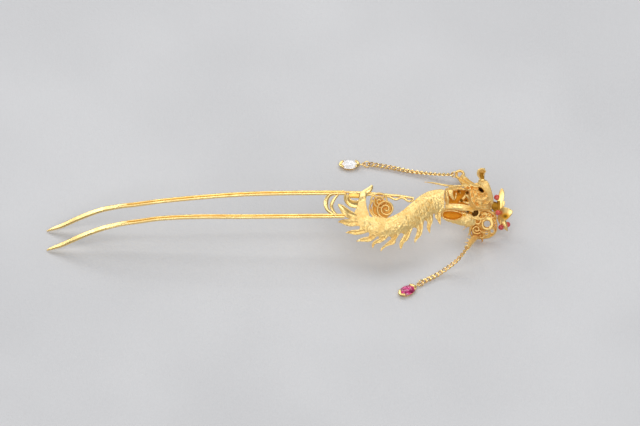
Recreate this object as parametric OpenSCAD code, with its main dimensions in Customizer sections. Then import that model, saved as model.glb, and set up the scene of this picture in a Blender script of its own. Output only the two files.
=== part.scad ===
// Two-pronged hairpin: a grooved fork, a hollow dragon body with flame fins, an open-mouthed
// head with a red-beaded star flower, and two curb chains that end in marquise drops.
// Millimetres, +Z up, as it lies on a table. X runs from the prong points to the flower.
// The origin is on the table, under the middle of the whole piece.

/* [Fork] */
// Width of a prong bar across its flat side
prong_w = 1.75; // [1.4:0.05:2.2]
// Thickness of a prong bar
prong_t = 0.95; // [0.7:0.05:1.3]
// Depth of the groove along a prong
groove_depth = 0.3; // [0.1:0.05:0.4]

/* [Ornament] */
// Thickness of the chased sheet of body, skull and jaw
sheet_t = 0.5; // [0.4:0.05:0.6]
// Thickness of the ribbon that the curls are bent from
curl_t = 0.55; // [0.4:0.05:0.6]
// Diameter of the fine wires
wire_d = 0.55; // [0.4:0.05:0.6]
// Diameter of a red bead
bead_d = 1.8; // [1.4:0.1:1.8]

/* [Chains] */
// Distance from one link to the next
link_pitch = 1.52; // [1.5:0.01:1.54]
// Length of a link along its centre line
link_length = 2.12; // [2.08:0.01:2.14]
// Width of a link along its centre line
link_width = 1.36; // [1.34:0.01:1.4]
// Diameter of the link wire
link_wire = 0.39; // [0.34:0.01:0.39]
// How far a link's sides are twisted out of its plane
link_twist = 0.3; // [0.29:0.01:0.32]

/* [Drops] */
// Length of a stone
stone_l = 5.4; // [5.0:0.1:5.6]
// Width of a stone
stone_w = 3.2; // [2.8:0.1:3.4]
// Height of a stone from its keel to its table
stone_h = 1.7; // [1.4:0.1:1.8]
// Wall of the collet round a stone
collet_wall = 0.35; // [0.3:0.05:0.4]

/* [Hidden] */

// The ornament is turned so that its show side faces up and forwards at 45 degrees
show = [0, -sqrt(0.5), sqrt(0.5)];
rise = [0, sqrt(0.5), sqrt(0.5)];
right = [1, 0, 0];
up = [0, 0, 1];

// Place in the slanting frame of the show side: along, up the side, and out of it
function on_show(x, high, out) = right * x + rise * high + show * out;

// Middle of the whole piece from front to back, between the two drops
middle_y = 5.2;

gold = [0.86, 0.66, 0.3];
pale_gold = [0.93, 0.79, 0.45];
coral = [0.8, 0.16, 0.14];
ruby = [0.82, 0.1, 0.4];
clear = [0.93, 0.94, 0.98];

// Half of the fork, from the point to the root
// columns: x, distance from the middle, height, width, thickness, groove depth
prong_rows = [
    [-75.2, 4.35, 0.42, 0.3, 0.3, 0],
    [-73.4, 4.35, 1.4, 1.2, 0.6, 0],
    [-70.0, 4.35, 3.1, 1.9, 0.75, 0],
    [-64.5, 4.35, 6.6, 2.15, 0.8, 0],
    [-58.0, 4.3, 10.0, 2.1, 0.8, 0],
    [-52.5, 4.1, 11.8, 1.9, 0.85, 0],
    [-49.5, 4.0, 12.5, prong_w, prong_t, 0.1],
    [-46.0, 3.95, 13.1, prong_w, prong_t, groove_depth],
    [-38.0, 3.95, 14.6, prong_w, prong_t, groove_depth],
    [-26.0, 4.4, 15.8, prong_w, prong_t, groove_depth],
    [-12.0, 5.1, 16.5, prong_w, prong_t, groove_depth],
    [4.0, 5.3, 16.9, prong_w, prong_t, groove_depth],
    [20.8, 5.3, 17.0, prong_w, prong_t, groove_depth]];

// Crescent bridge between the prongs, an outer and an inner band
// columns: x, y, z, width, thickness
bridge_outer = [[18.6, 5.2, 17.0, 0.9, 0.8], [15.9, 3.9, 17.1, 1.2, 0.9], [14.8, 0.9, 17.2, 1.5, 0.9],
    [15.4, -2.8, 17.1, 1.2, 0.9], [18.0, -5.2, 17.0, 0.9, 0.8]];
bridge_inner = [[18.9, 4.9, 16.8, 0.7, 0.7], [17.4, 2.8, 16.3, 1.0, 0.7], [16.6, 0.4, 16.1, 1.2, 0.7],
    [17.2, -2.4, 16.3, 1.0, 0.7], [18.6, -4.9, 16.8, 0.7, 0.7]];

// Rail from the back prong to the body
// columns: x, y, z
rail_rows = [[21.1, 5.2, 17.4], [24.0, 5.2, 17.3], [29.0, 5.0, 17.1], [34.8, 4.5, 16.8],
    [39.4, 4.1, 16.6], [43.2, 3.2, 16.5]];
rail_cells = 5;
rail_deep = 1.45;
rail_steps = 6;

// Tail: crescent cup and leaves
// columns: along, up the show side, out of it, width, thickness
cup_rows = [[22.9, 15.2, 9.6, 0.9, 0.8], [21.7, 14.7, 10.0, 1.5, 0.9], [21.3, 13.0, 10.9, 2.0, 1.0],
    [22.4, 11.6, 11.7, 2.1, 1.0], [24.3, 11.1, 12.2, 1.7, 0.9], [26.0, 11.3, 12.4, 1.2, 0.8]];
cup_lip_rows = [[25.4, 11.9, 12.2, 0.9, 0.7], [25.4, 13.5, 11.2, 0.9, 0.6], [24.3, 14.7, 10.3, 0.8, 0.6],
    [22.5, 14.9, 10.0, 0.8, 0.7]];
long_leaf_rows = [[26.3, 9.8, 12.9, 4.2, 0.5], [26.4, 11.8, 12.4, 3.4, 0.6], [27.2, 14.4, 11.2, 2.3, 0.6],
    [28.4, 16.3, 10.3, 1.7, 0.5], [29.4, 17.3, 10.1, 1.2, 0.4], [29.8, 18.1, 9.8, 0.5, 0.3]];
small_leaf_rows = [[24.9, 10.1, 12.8, 1.2, 0.5], [22.5, 10.1, 13.1, 1.8, 0.5], [20.3, 11.1, 13.2, 1.6, 0.4],
    [18.7, 12.1, 13.0, 0.3, 0.3]];

// Curls of the scroll cloud
// columns: along, up the show side, out of it, first radius, last radius, start angle, turn
cloud_rows = [
    [31.9, 12.7, 12.2, 0.7, 2.75, 60, 480],
    [33.9, 10.7, 12.4, 0.7, 3.0, -150, 480],
    [31.6, 10.6, 12.3, 2.2, 2.9, 150, 150]];
cloud_deep = 1;
// Plate behind the curls
// columns: back edge x, y, z, front edge x, y, z, bulge
cloud_plate_rows = [
    [29.5, 0.6, 17.2, 29.5, -1.9, 14.7, 0.1],
    [31.2, 1.7, 18.3, 31.2, -2.7, 13.9, 0.2],
    [34.4, 1.4, 18.0, 34.4, -2.9, 13.7, 0.2],
    [36.7, 0.2, 16.8, 36.7, -1.7, 14.9, 0.1]];

// Body shell, from the tail to the neck
// columns: back edge x, y, z, front edge x, y, z, bulge
body_rows = [
    [21.1, -4.4, 17.1, 21.1, -6.1, 16.2, 0.1],
    [24.2, -2.6, 15.6, 24.5, -6.9, 13.8, 0.7],
    [27.7, -2.4, 15.4, 27.1, -8.1, 12.6, 1.2],
    [30.6, -3.6, 15.2, 29.7, -8.9, 11.7, 1.6],
    [33.9, -4.2, 15.0, 33.9, -8.8, 11.2, 1.8],
    [36.8, -3.2, 15.2, 38.1, -7.8, 11.0, 2.0],
    [39.7, -1.2, 15.6, 41.9, -5.9, 11.3, 2.2],
    [42.6, 1.7, 16.2, 45.2, -3.8, 11.8, 2.3],
    [45.5, 4.5, 16.7, 48.4, -1.7, 12.0, 2.3],
    [48.7, 6.4, 16.9, 50.6, -0.2, 11.6, 2.2],
    [52.15, 7.0, 16.8, 52.15, 1.0, 11.6, 2.1]];

// Nine flame fins, four or five rows from the root of each to its point
// columns: one edge along and up the show side, the other edge along and up, out of the show side
fin_rows = [
    [[27.4, 7.2, 27.4, 4.3, 14.9], [22.9, 6.9, 22.9, 5.0, 14.9], [20.4, 6.8, 20.4, 5.4, 15.0],
        [18.7, 6.4, 18.7, 6.0, 15.1]],
    [[28.4, 4.7, 29.0, 2.6, 14.9], [24.8, 3.9, 24.8, 2.1, 15.0], [22.5, 3.6, 22.5, 2.6, 15.1],
        [21.0, 3.0, 21.1, 2.6, 15.2]],
    [[30.0, 2.9, 32.4, 2.5, 14.8], [27.8, 1.4, 29.0, 0.1, 15.1], [26.1, 1.0, 26.8, -0.1, 15.2],
        [24.8, 0.2, 24.9, -0.2, 15.3]],
    [[32.8, 2.5, 36.0, 2.4, 14.5], [31.3, 0.8, 33.4, -0.2, 14.9], [29.9, -0.5, 31.3, -0.9, 15.1],
        [29.6, -1.9, 30.1, -2.1, 15.3]],
    [[36.4, 2.6, 39.9, 3.4, 13.9], [35.3, 0.2, 37.5, 0.4, 14.4], [34.1, -1.0, 36.4, -1.2, 14.6],
        [32.7, -2.2, 33.8, -2.4, 14.8], [32.2, -3.0, 32.6, -3.3, 14.9]],
    [[40.3, 3.5, 43.6, 5.5, 12.7], [39.2, 0.9, 41.7, 0.8, 13.4], [38.5, -1.0, 39.9, -1.1, 13.8],
        [38.8, -2.4, 39.3, -2.5, 14.0]],
    [[44.4, 5.5, 46.9, 7.3, 11.5], [44.0, 3.1, 46.2, 3.4, 12.1], [43.3, 0.9, 44.8, 1.0, 12.6],
        [43.2, -0.3, 43.7, -0.4, 12.8]],
    [[47.5, 7.3, 49.8, 8.9, 10.2], [47.3, 5.3, 49.2, 5.6, 10.7], [47.6, 3.9, 48.8, 4.0, 11.1],
        [48.0, 2.8, 48.4, 2.8, 11.3]],
    [[50.2, 9.0, 52.0, 9.7, 8.9], [50.7, 8.0, 52.0, 7.8, 9.3], [51.1, 6.7, 52.0, 6.5, 9.6],
        [51.7, 5.5, 52.0, 5.4, 9.8]]];

fin_bulge = 0.25;

// Cells across a sheet, and steps between two rows of its table
body_cells = 7;
throat_cells = 6;
face_cells = 5;
plate_cells = 4;
fin_cells = 2;
sheet_steps = 2;

// Skull dome, from the lip to the flower
// columns: back edge x, y, z, front edge x, y, z, bulge
skull_rows = [
    [59.9, 8.7, 16.1, 60.1, 7.4, 14.6, 0.2],
    [61.0, 8.8, 16.4, 60.9, 4.5, 11.5, 1.0],
    [62.5, 9.0, 16.7, 62.4, 3.6, 10.6, 1.7],
    [64.5, 9.6, 16.8, 64.5, 3.4, 10.0, 2.2],
    [66.5, 10.3, 16.2, 66.5, 3.8, 9.9, 2.1],
    [67.7, 9.4, 14.8, 67.7, 4.5, 10.1, 1.4],
    [68.3, 8.2, 13.0, 68.4, 5.9, 10.9, 0.5]];
// Hollow of the throat behind the open mouth
throat_rows = [
    [53.2, 7.6, 15.6, 53.5, 4.9, 11.9, -1.5],
    [55.5, 8.1, 15.5, 55.8, 5.2, 11.5, -1.7],
    [58.1, 8.6, 15.3, 58.1, 4.9, 11.2, -1.8],
    [60.8, 8.8, 15.6, 60.8, 4.6, 11.2, -1.6]];
// Strap over the skull that ends in the horn
// columns: x, y, z, width, thickness
horn_rows = [[68.2, 5.6, 10.8, 0.9, 0.5], [67.8, 7.3, 12.8, 1.4, 0.6], [67.1, 9.0, 15.6, 2.2, 0.7],
    [66.0, 10.0, 17.6, 2.4, 0.7], [65.2, 10.5, 19.2, 1.3, 0.7], [64.8, 11.2, 20.6, 2.2, 0.8],
    [64.7, 11.9, 21.9, 1.5, 0.5]];
lip_rows = [[52.5, 7.0, 17.0, 0.8, 0.5], [55.5, 8.1, 16.5, 0.9, 0.5], [58.4, 8.8, 16.2, 1.0, 0.6],
    [61.0, 8.9, 16.4, 1.2, 0.6]];
tongue_rows = [[54.9, 7.9, 16.1, 1.1, 0.4], [55.6, 6.9, 14.6, 0.9, 0.4], [56.7, 6.0, 13.2, 0.35, 0.3]];
cheek_rows = [[53.2, 5.0, 11.9, 0.7, 0.5], [56.6, 5.0, 11.5, 0.9, 0.5], [59.6, 4.2, 11.0, 1.1, 0.5],
    [62.4, 3.6, 10.5, 1.2, 0.6]];
upper_fang_rows = [[61.6, 5.9, 12.9, 0.8, 0.5], [60.9, 6.3, 13.9, 0.6, 0.4], [60.1, 6.9, 14.5, 0.2, 0.2]];
lower_fang_rows = [[61.2, 5.2, 12.3, 0.7, 0.5], [60.2, 5.2, 12.6, 0.6, 0.4], [59.0, 5.5, 13.0, 0.2, 0.2]];
eye_place = [64.8, 6.3, 17.0];
eye_r = 0.75;
eye_deep = 6;

// Lower jaw: outside and hollow of the cup
// columns: x, y, z, height across the show side, depth into it
jaw_rows = [[52.3, 3.5, 9.4, 1.8, 0.8], [53.6, 3.5, 9.3, 4.2, 2.2], [55.5, 3.3, 9.0, 5.0, 2.9],
    [57.4, 2.8, 8.6, 4.7, 3.1], [59.4, 1.9, 8.0, 3.7, 2.7], [61.1, 1.3, 7.2, 1.6, 1.4]];
jaw_hollow_rows = [[52.9, 2.3, 9.9, 1.4, 2.4], [54.2, 2.2, 9.8, 2.5, 3.2], [55.8, 2.2, 9.6, 2.7, 3.4],
    [57.3, 2.3, 9.5, 2.2, 3.0], [58.6, 2.6, 9.4, 0.8, 1.6]];

// Plate of the face scrolls, from under the skull to the ground
// columns: right edge x, y, z, left edge x, y, z, bulge
face_rows = [
    [68.2, 5.25, 9.35, 63.0, 4.95, 9.55, 0.2],
    [69.1, 2.9, 7.0, 62.3, 2.3, 7.2, 0.6],
    [69.3, 1.6, 4.0, 61.9, 1.5, 4.0, 0.7],
    [67.6, 1.0, 1.2, 62.3, 0.8, 1.2, 0.4]];
// Length of the cutters that pierce the plate
face_deep = 20;
// Holes pierced through the plate
// columns: along, up the show side, radius
face_holes = [[67.0, 5.8, 1.15], [66.7, 2.8, 0.7], [68.4, 3.5, 0.65]];
// Curls of the face
// columns: along, up the show side, out of it, first radius, last radius, start angle, turn
face_curl_rows = [
    [67.0, 5.8, 3.6, 1.2, 1.85, -30, 420],
    [66.7, 2.8, 1.95, 0.8, 0.8, 0, 360],
    [68.4, 3.5, 2.2, 0.75, 0.75, 0, 360],
    [63.6, 6.2, 4.2, 0.5, 1.2, 0, 330],
    [63.6, 3.8, 2.7, 0.5, 1.2, 180, 330]];
face_rim_rows = [[67.9, 4.1, 8.8], [69.3, 3.1, 7.6], [70.0, 1.8, 5.4], [69.7, 0.7, 2.9], [67.6, 0.5, 0.9],
    [64.6, 0.6, 0.3], [62.6, 0.6, 0.5]];
// Thorns on the face and on the front bar
thorn_d = 0.65;
thorn_tip = 0.15;
face_thorn_rows = [
    [[62.5, 1.8, 5.8], [60.5, 0.8, 6.2], [59.0, -0.6, 5.8]],
    [[61.9, 1.1, 4.2], [61.0, 0.3, 3.6], [60.6, -0.7, 3.0]],
    [[65.2, 0.5, 0.6], [65.3, -0.2, 0.5], [65.0, -0.9, 0.6]]];

// Star flower: centre, and the petals round its axis
flower_at = [70.9, 4.6, 9.2];
// Cup behind the petals: radius at the head, radius at the petals, length
flower_cup = [0.8, 1.7, 3.3];
flower_cup_back = 0.45;
// columns: angle, reach, lean forwards, width,
// and 1 where the width runs along X or 0 where it runs up the show side
petal_rows = [
    [60, 7.3, 1.5, 1.8, 1],
    [133, 4.8, 4.3, 3.8, 0],
    [232, 6.4, 2.5, 2.4, 1],
    [305, 6.0, 2.2, 2.4, 1],
    [4, 5.8, 1.7, 2.2, 1]];
// Shape of every petal
// columns: share of the reach, share of the lean, share of the width, thickness
petal_shape = [[0.08, 0, 0.55, 0.5], [0.4, 0.2, 1, 0.45], [0.75, 0.65, 0.75, 0.4], [1, 1, 0.12, 0.25]];
// Stem from the middle of the flower to a bead, and the gap that it leaves
stem_d = 0.4;
bead_gap = 0.1;
// Beads
// columns: x, y, z
bead_rows = [[69.9, 6.9, 13.3], [70.3, 2.2, 11.0], [71.3, 0.6, 5.9], [73.4, 3.6, 4.2]];

// Two whiskers soldered over the mouth
// columns: x, y, z, width, thickness
long_whisker_rows = [[46.5, 9.6, 17.6, 0.2, 0.2], [48.7, 8.9, 18.0, 0.4, 0.35], [50.8, 8.2, 18.2, 0.5, 0.45],
    [53.4, 7.6, 18.1, 0.55, 0.45], [56.2, 8.1, 17.2, 0.6, 0.45], [58.6, 8.8, 16.3, 0.5, 0.4]];
short_whisker_rows = [[54.4, 6.9, 17.9, 0.3, 0.3], [57.0, 7.7, 17.7, 0.6, 0.45], [59.6, 8.3, 17.2, 0.7, 0.5],
    [61.9, 8.8, 16.6, 0.6, 0.4]];

// Bars that carry the chains
// columns: x, y, z, width, thickness
back_rod_rows = [[66.1, 10.0, 15.5, 1.2, 1.2], [64.8, 14.0, 10.2, 1.5, 1.5], [61.3, 20.6, 6.0, 1.6, 1.6],
    [59.6, 24.4, 4.4, 1.5, 1.4], [58.6, 26.6, 3.4, 1.1, 0.9]];
back_strap_rows = [[62.8, 16.6, 8.0, 1.0, 0.6], [60.4, 19.8, 5.9, 1.0, 0.6], [58.5, 23.2, 4.0, 1.0, 0.6],
    [57.7, 26.4, 2.7, 0.8, 0.5]];
front_rod_rows = [[63.6, 0.1, 2.5, 1.2, 1.2], [62.5, -3.4, 4.7, 1.7, 1.5], [61.3, -8.2, 7.4, 1.4, 1.3],
    [61.0, -11.4, 8.9, 0.8, 0.8], [60.95, -12.45, 9.3, 0.6, 0.6]];
front_thorn_rows = [
    [[62.2, -4.7, 5.4], [61.0, -5.2, 6.2], [60.1, -5.0, 6.5]],
    [[61.5, -7.6, 7.0], [60.3, -8.2, 7.7], [59.5, -8.3, 7.9]]];

// Rings: a ring's turn is how far it is tipped up about X, from lying level
back_eye = [57.8, 27.7, 2.9];
back_eye_r = 1.2;
back_eye_wire = 0.65;
back_eye_turn = 20;
front_eye = [60.4, -12.4, 9.8];
front_eye_r = 0.75;
front_eye_wire = 0.45;
front_eye_turn = 90;
joint_ring_r = 1;
joint_ring_turn = 80;
ring_wire = 0.36;
jump_r = 0.95;
jump_turn = 60;
// How far a ring's wire lies from the middle of the link that it passes through
ring_in_link = 0.3;
ring_in_eye = 0.6;
joint_ring = back_eye - right * (back_eye_r + joint_ring_r - ring_in_eye);

// Drops: the middle of each stone's girdle and the way it points
drop_z = 1.12;
clear_at = [22.4, 34.1, drop_z];
clear_turn = 2;
ruby_at = [41.1, -23.3, drop_z];
ruby_turn = 38;
// Middle of the bail ring, ahead of the middle of the stone
bail_reach = stone_l / 2 + 1.95;
jump_z = 1;
last_link = bail_reach + 2 * jump_r + ring_in_link;
// Place ahead of a drop, along the way it points
function beyond(drop, turn, way) = [drop[0], drop[1], 0] + [cos(turn), sin(turn), 0] * way;
back_end = beyond(clear_at, clear_turn, last_link);
front_end = beyond(ruby_at, ruby_turn, last_link);

// Chains, from the ring on the bar to the jump ring
// columns: x, y, z, lean of the link's width from level
back_chain_rows = [[joint_ring[0] - joint_ring_r - ring_in_link, back_eye[1], back_eye[2], 40],
    [52.0, 28.5, 2.2, 38], [48.4, 29.4, 1.6, 34], [41.9, 31.0, 1.1, 24], [35.5, 32.9, 0.98, 8],
    [back_end[0], back_end[1], 0.95, 0]];
front_chain_rows = [[59.9, -12.5, 8.8, 20], [58.3, -12.9, 6.3, 20], [56.8, -13.5, 4.6, 18],
    [54.9, -14.2, 3.1, 15], [52.8, -15.1, 1.9, 12], [50.3, -16.6, 1.15, 5],
    [front_end[0], front_end[1], 0.95, 0]];
link_sides = 5;
link_steps = 10;
// A link points from this far behind its middle on the route to this far ahead of it
link_reach = 0.4;

// Unit vector
function unit(v) = v / norm(v);

// Place of a row, its first three columns
function spot(row) = [row[0], row[1], row[2]];

// Point between rows b and c of a smooth curve through a, b, c and d, in all columns at once
function between(a, b, c, d, t) =
    (2 * b + (c - a) * t + (2 * a - 5 * b + 4 * c - d) * t * t + (3 * b - a - 3 * c + d) * t * t * t) / 2;

// Smooth run through a table, with each gap between rows cut into steps
function smooth(rows, steps) =
    let (last = len(rows) - 1)
    concat(
        [for (i = [0 : last - 1]) for (k = [0 : steps - 1])
            between(rows[max(i - 1, 0)], rows[i], rows[i + 1], rows[min(i + 2, last)], k / steps)],
        [rows[last]]);

// Direction of a run at row i
function heading(run, i) = unit(spot(run[min(i + 1, len(run) - 1)]) - spot(run[max(i - 1, 0)]));

// Ring of points across a run: an oval of width w, and of thickness t along the way it faces
function rib(at, along, face, w, t, sides) =
    let (across = unit(cross(along, face)), out = cross(across, along))
    [for (k = [0 : sides - 1]) let (a = -360 * (k + 0.5) / sides)
        at + across * cos(a) * w / 2 + out * sin(a) * t / 2];

// Two triangles of a quad
function halves(q) = [[q[0], q[1], q[2]], [q[0], q[2], q[3]]];

// Closed solid through a run of rings
module loft(rings) {
    m = len(rings);
    n = len(rings[0]);
    sides = [for (i = [0 : m - 2]) for (k = [0 : n - 1])
        for (f = halves([i * n + k, (i + 1) * n + k, (i + 1) * n + (k + 1) % n, i * n + (k + 1) % n])) f];
    polyhedron(
        points = [for (ring = rings) for (p = ring) p],
        faces = concat(sides, [[for (k = [0 : n - 1]) k]], [[for (k = [n - 1 : -1 : 0]) (m - 1) * n + k]]));
}

// Solid through a row of rings that comes back to its first ring
module hoop(rings) {
    m = len(rings);
    n = len(rings[0]);
    polyhedron(
        points = [for (ring = rings) for (p = ring) p],
        faces = [for (i = [0 : m - 1]) for (k = [0 : n - 1]) let (far = (i + 1) % m * n, next = (k + 1) % n)
            for (f = halves([i * n + k, i * n + next, far + next, far + k])) f]);
}

// Ribbon or wire along a table of x, y, z, width and thickness
module ribbon(rows, face = show, sides = 6, steps = 2) {
    run = smooth(rows, steps);
    loft([for (i = [0 : len(run) - 1])
        rib(spot(run[i]), heading(run, i), face, run[i][3], run[i][4], sides)]);
}

// Table of places in the frame of the show side, turned into x, y, z, width and thickness
function from_show(rows) =
    [for (row = rows) let (at = on_show(row[0], row[1], row[2])) [at[0], at[1], at[2], row[3], row[4]]];

// Rows of a table of x, y and z with one width, and a taper to the last row
function with_width(rows, w, tip) =
    [for (i = [0 : len(rows) - 1])
        let (d = w + (tip - w) * i / (len(rows) - 1)) [rows[i][0], rows[i][1], rows[i][2], d, d]];

// Curl of standing ribbon in the plane that faces the show side
module curl(row, wide, deep, steps_a_turn = 12) {
    count = ceil(row[6] / 360 * steps_a_turn);
    rows = [for (k = [0 : count])
        let (a = row[5] + row[6] * k / count, r = row[3] + (row[4] - row[3]) * k / count)
        [row[0] + cos(a) * r, row[1] + sin(a) * r, row[2], wide, deep]];
    if (row[3] == row[4])
        wire_ring(on_show(row[0], row[1], row[2]), show, right, row[3], wide, steps_a_turn);
    else
        ribbon(from_show(rows), show, 4, 1);
}

// Axis of a ring that is tipped up about X
function ring_axis(turn) = [0, -sin(turn), cos(turn)];

// Closed ring of wire round an axis
module wire_ring(at, axis, first, r, d, steps = 12, sides = 6) {
    a = unit(axis);
    p = unit(first - (first * a) * a);
    q = cross(a, p);
    hoop([for (k = [0 : steps - 1]) ring_rib(at, a, p, q, r, d, 360 * k / steps, sides)]);
}
function ring_rib(at, a, p, q, r, d, turn, sides) =
    let (out = p * cos(turn) + q * sin(turn))
    [for (k = [0 : sides - 1]) let (b = 360 * k / sides)
        at + out * (r + d / 2 * cos(b)) + a * d / 2 * sin(b)];

// Grid of points over a table of back edge, front edge and bulge
function dome(rows, steps, cells) =
    let (run = smooth(rows, steps))
    [for (i = [0 : len(run) - 1])
        let (back = spot(run[i]), front = [run[i][3], run[i][4], run[i][5]])
        let (along = heading(run, i), out = unit(cross(front - back, along)))
        [for (j = [0 : cells]) let (s = j / cells)
            back + (front - back) * s + out * run[i][6] * pow(sin(180 * s), 0.8)]];

// Way that a grid faces at one of its points
function facing(grid, i, j) =
    unit(cross(
        grid[min(i + 1, len(grid) - 1)][j] - grid[max(i - 1, 0)][j],
        grid[i][min(j + 1, len(grid[0]) - 1)] - grid[i][max(j - 1, 0)]));

// Sheet of metal over a grid of points
module sheet(grid, t) {
    m = len(grid);
    n = len(grid[0]);
    top = [for (i = [0 : m - 1]) for (j = [0 : n - 1]) grid[i][j] + facing(grid, i, j) * t / 2];
    bottom = [for (i = [0 : m - 1]) for (j = [0 : n - 1]) grid[i][j] - facing(grid, i, j) * t / 2];
    quads = concat(
        [for (i = [0 : m - 2]) for (j = [0 : n - 2])
            [i * n + j, i * n + j + 1, (i + 1) * n + j + 1, (i + 1) * n + j]],
        [for (i = [0 : m - 2]) for (j = [0 : n - 2])
            [(i + 1) * n + j, (i + 1) * n + j + 1, i * n + j + 1, i * n + j] + [1, 1, 1, 1] * m * n],
        [for (i = [0 : m - 2]) [i * n, (i + 1) * n, (m + i + 1) * n, (m + i) * n]],
        [for (i = [0 : m - 2]) [(i + 2) * n - 1, (i + 1) * n - 1, (m + i + 1) * n - 1, (m + i + 2) * n - 1]],
        [for (j = [0 : n - 2]) [j + 1, j, m * n + j, m * n + j + 1]],
        [for (j = [0 : n - 2])
            [(m - 1) * n + j, (m - 1) * n + j + 1, (2 * m - 1) * n + j + 1, (2 * m - 1) * n + j]]);
    polyhedron(points = concat(top, bottom), faces = [for (q = quads) for (f = halves(q)) f]);
}

// Everything is drawn round the fork's middle line, then moved over the origin
module placed() {
    translate([0, -middle_y, 0])
        children();
}

// Outline of a prong bar across its run, with the groove on top
function prong_rib(at, along, w, t, groove) =
    let (across = unit(cross(along, up)), out = cross(across, along))
    let (shape = [[-0.5, 0], [-0.42, 0.36], [-0.24, 0.5], [0, 0.5], [0.24, 0.5], [0.42, 0.36], [0.5, 0],
        [0.34, -0.5], [-0.34, -0.5]])
    [for (k = [0 : len(shape) - 1])
        at + across * shape[k][0] * w + out * (shape[k][1] * t - (k == 3 ? groove : 0))];

module prong(side) {
    run = smooth([for (r = prong_rows) [r[0], side * r[1], r[2], r[3], r[4], r[5]]], 2);
    loft([for (i = [0 : len(run) - 1])
        prong_rib(spot(run[i]), heading(run, i), run[i][3], run[i][4], max(run[i][5], 0))]);
}

module hair_fork() {
    color(pale_gold) placed() {
        prong(1);
        prong(-1);
        ribbon(bridge_outer, up, 6, 2);
        ribbon(bridge_inner, up, 6, 2);
    }
}

// Depth of the rail's wavy lower wire below its top wire
function wave(i, count) = rail_deep * (0.62 - 0.38 * cos(360 * rail_cells * i / count));

module spine_rail() {
    run = smooth(rail_rows, rail_steps);
    last = len(run) - 1;
    color(pale_gold) placed() {
        ribbon([for (r = rail_rows) [r[0], r[1], r[2], wire_d * 1.4, wire_d * 1.2]], show, 6, 2);
        ribbon([for (i = [0 : last]) let (at = run[i] - rise * wave(i, last))
            [at[0], at[1], at[2], wire_d * 1.2, wire_d * 1.2]], show, 5, 1);
    }
}

module tail_leaves() {
    color(pale_gold) placed() {
        for (rows = [cup_rows, cup_lip_rows, long_leaf_rows, small_leaf_rows])
            ribbon(from_show(rows));
    }
}

module scroll_cloud() {
    color(gold) placed() {
        sheet(dome(cloud_plate_rows, sheet_steps, plate_cells), curl_t);
        for (row = cloud_rows)
            curl(row, curl_t, cloud_deep);
    }
}

// Rows of a fin as back edge, front edge and bulge
function fin_edges(fin) =
    [for (row = fin)
        let (a = on_show(row[0], row[1], row[4]), b = on_show(row[2], row[3], row[4]))
        [a[0], a[1], a[2], b[0], b[1], b[2], fin_bulge]];

module body_shell() {
    color(gold) placed() {
        sheet(dome(body_rows, sheet_steps, body_cells), sheet_t);
        for (fin = fin_rows)
            sheet(dome(fin_edges(fin), sheet_steps, fin_cells), sheet_t);
    }
}

module head_shell() {
    color(gold) placed() {
        difference() {
            sheet(dome(skull_rows, sheet_steps, body_cells), sheet_t);
            translate(eye_place)
                rotate([45, 0, 0])
                    cylinder(r = eye_r, h = eye_deep, center = true, $fn = 12);
        }
        sheet(dome(throat_rows, sheet_steps, throat_cells), sheet_t);
        ribbon(horn_rows);
        ribbon(lip_rows);
        ribbon(cheek_rows);
        ribbon(tongue_rows);
        ribbon(upper_fang_rows, show, 5, 1);
        ribbon(lower_fang_rows, show, 5, 1);
        ribbon(long_whisker_rows);
        ribbon(short_whisker_rows);
    }
}

module lower_jaw() {
    color(gold) placed()
        difference() {
            ribbon(jaw_rows, show, 12, 2);
            ribbon(jaw_hollow_rows, show, 10, 2);
        }
}

module face_scrolls() {
    color(gold) placed() {
        difference() {
            sheet(dome(face_rows, sheet_steps, face_cells), sheet_t);
            for (hole = face_holes)
                translate(on_show(hole[0], hole[1], 0))
                    rotate([45, 0, 0])
                        cylinder(r = hole[2], h = face_deep, center = true, $fn = 12);
        }
        for (row = face_curl_rows)
            curl(row, curl_t, 1, 10);
        ribbon(with_width(face_rim_rows, wire_d, wire_d), show, 6, 2);
        for (thorn = face_thorn_rows)
            ribbon(with_width(thorn, thorn_d, thorn_tip), show, 5, 1);
    }
}

// Petal of the star flower, from the centre outwards
module petal(angle, reach, lean, w, level) {
    out = [0, cos(angle), sin(angle)];
    face = cross(level == 1 ? right : rise, out * reach + right * lean);
    ribbon([for (row = petal_shape)
        let (at = flower_at + out * reach * row[0] + right * lean * row[1])
        [at[0], at[1], at[2], w * row[2], row[3]]], face, 6, 2);
}

module star_flower() {
    color(pale_gold) placed() {
        for (row = petal_rows)
            petal(row[0], row[1], row[2], row[3], row[4]);
        translate(flower_at - right * flower_cup_back)
            rotate([0, 90, 0])
                cylinder(r1 = flower_cup[0], r2 = flower_cup[1], h = flower_cup[2], center = true, $fn = 12);
        for (bead = bead_rows) {
            stem_end = bead - unit(bead - flower_at) * (bead_d / 2 + bead_gap);
            ribbon(with_width([flower_at, stem_end], stem_d, stem_d), show, 5, 1);
        }
    }
}

module bead(i) {
    color(coral) placed()
        translate(bead_rows[i])
            sphere(d = bead_d, $fn = 24);
}
module bead_1() bead(0);
module bead_2() bead(1);
module bead_3() bead(2);
module bead_4() bead(3);

module back_rod() {
    color(gold) placed() {
        ribbon(back_rod_rows, show, 8, 2);
        ribbon(back_strap_rows, show, 6, 2);
        wire_ring(back_eye, ring_axis(back_eye_turn), right, back_eye_r, back_eye_wire, 14, 6);
    }
}

module front_rod() {
    color(gold) placed() {
        ribbon(front_rod_rows, up, 8, 2);
        for (thorn = front_thorn_rows)
            ribbon(with_width(thorn, thorn_d, thorn_tip), show, 5, 1);
        wire_ring(front_eye, ring_axis(front_eye_turn), right, front_eye_r, front_eye_wire, 12, 6);
    }
}

// Curb link: an oval whose two sides are twisted out of its plane
function link_point(at, along, across, out, turn) =
    at + along * link_length / 2 * cos(turn) + across * link_width / 2 * sin(turn)
        + out * link_twist * sin(2 * turn);

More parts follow.
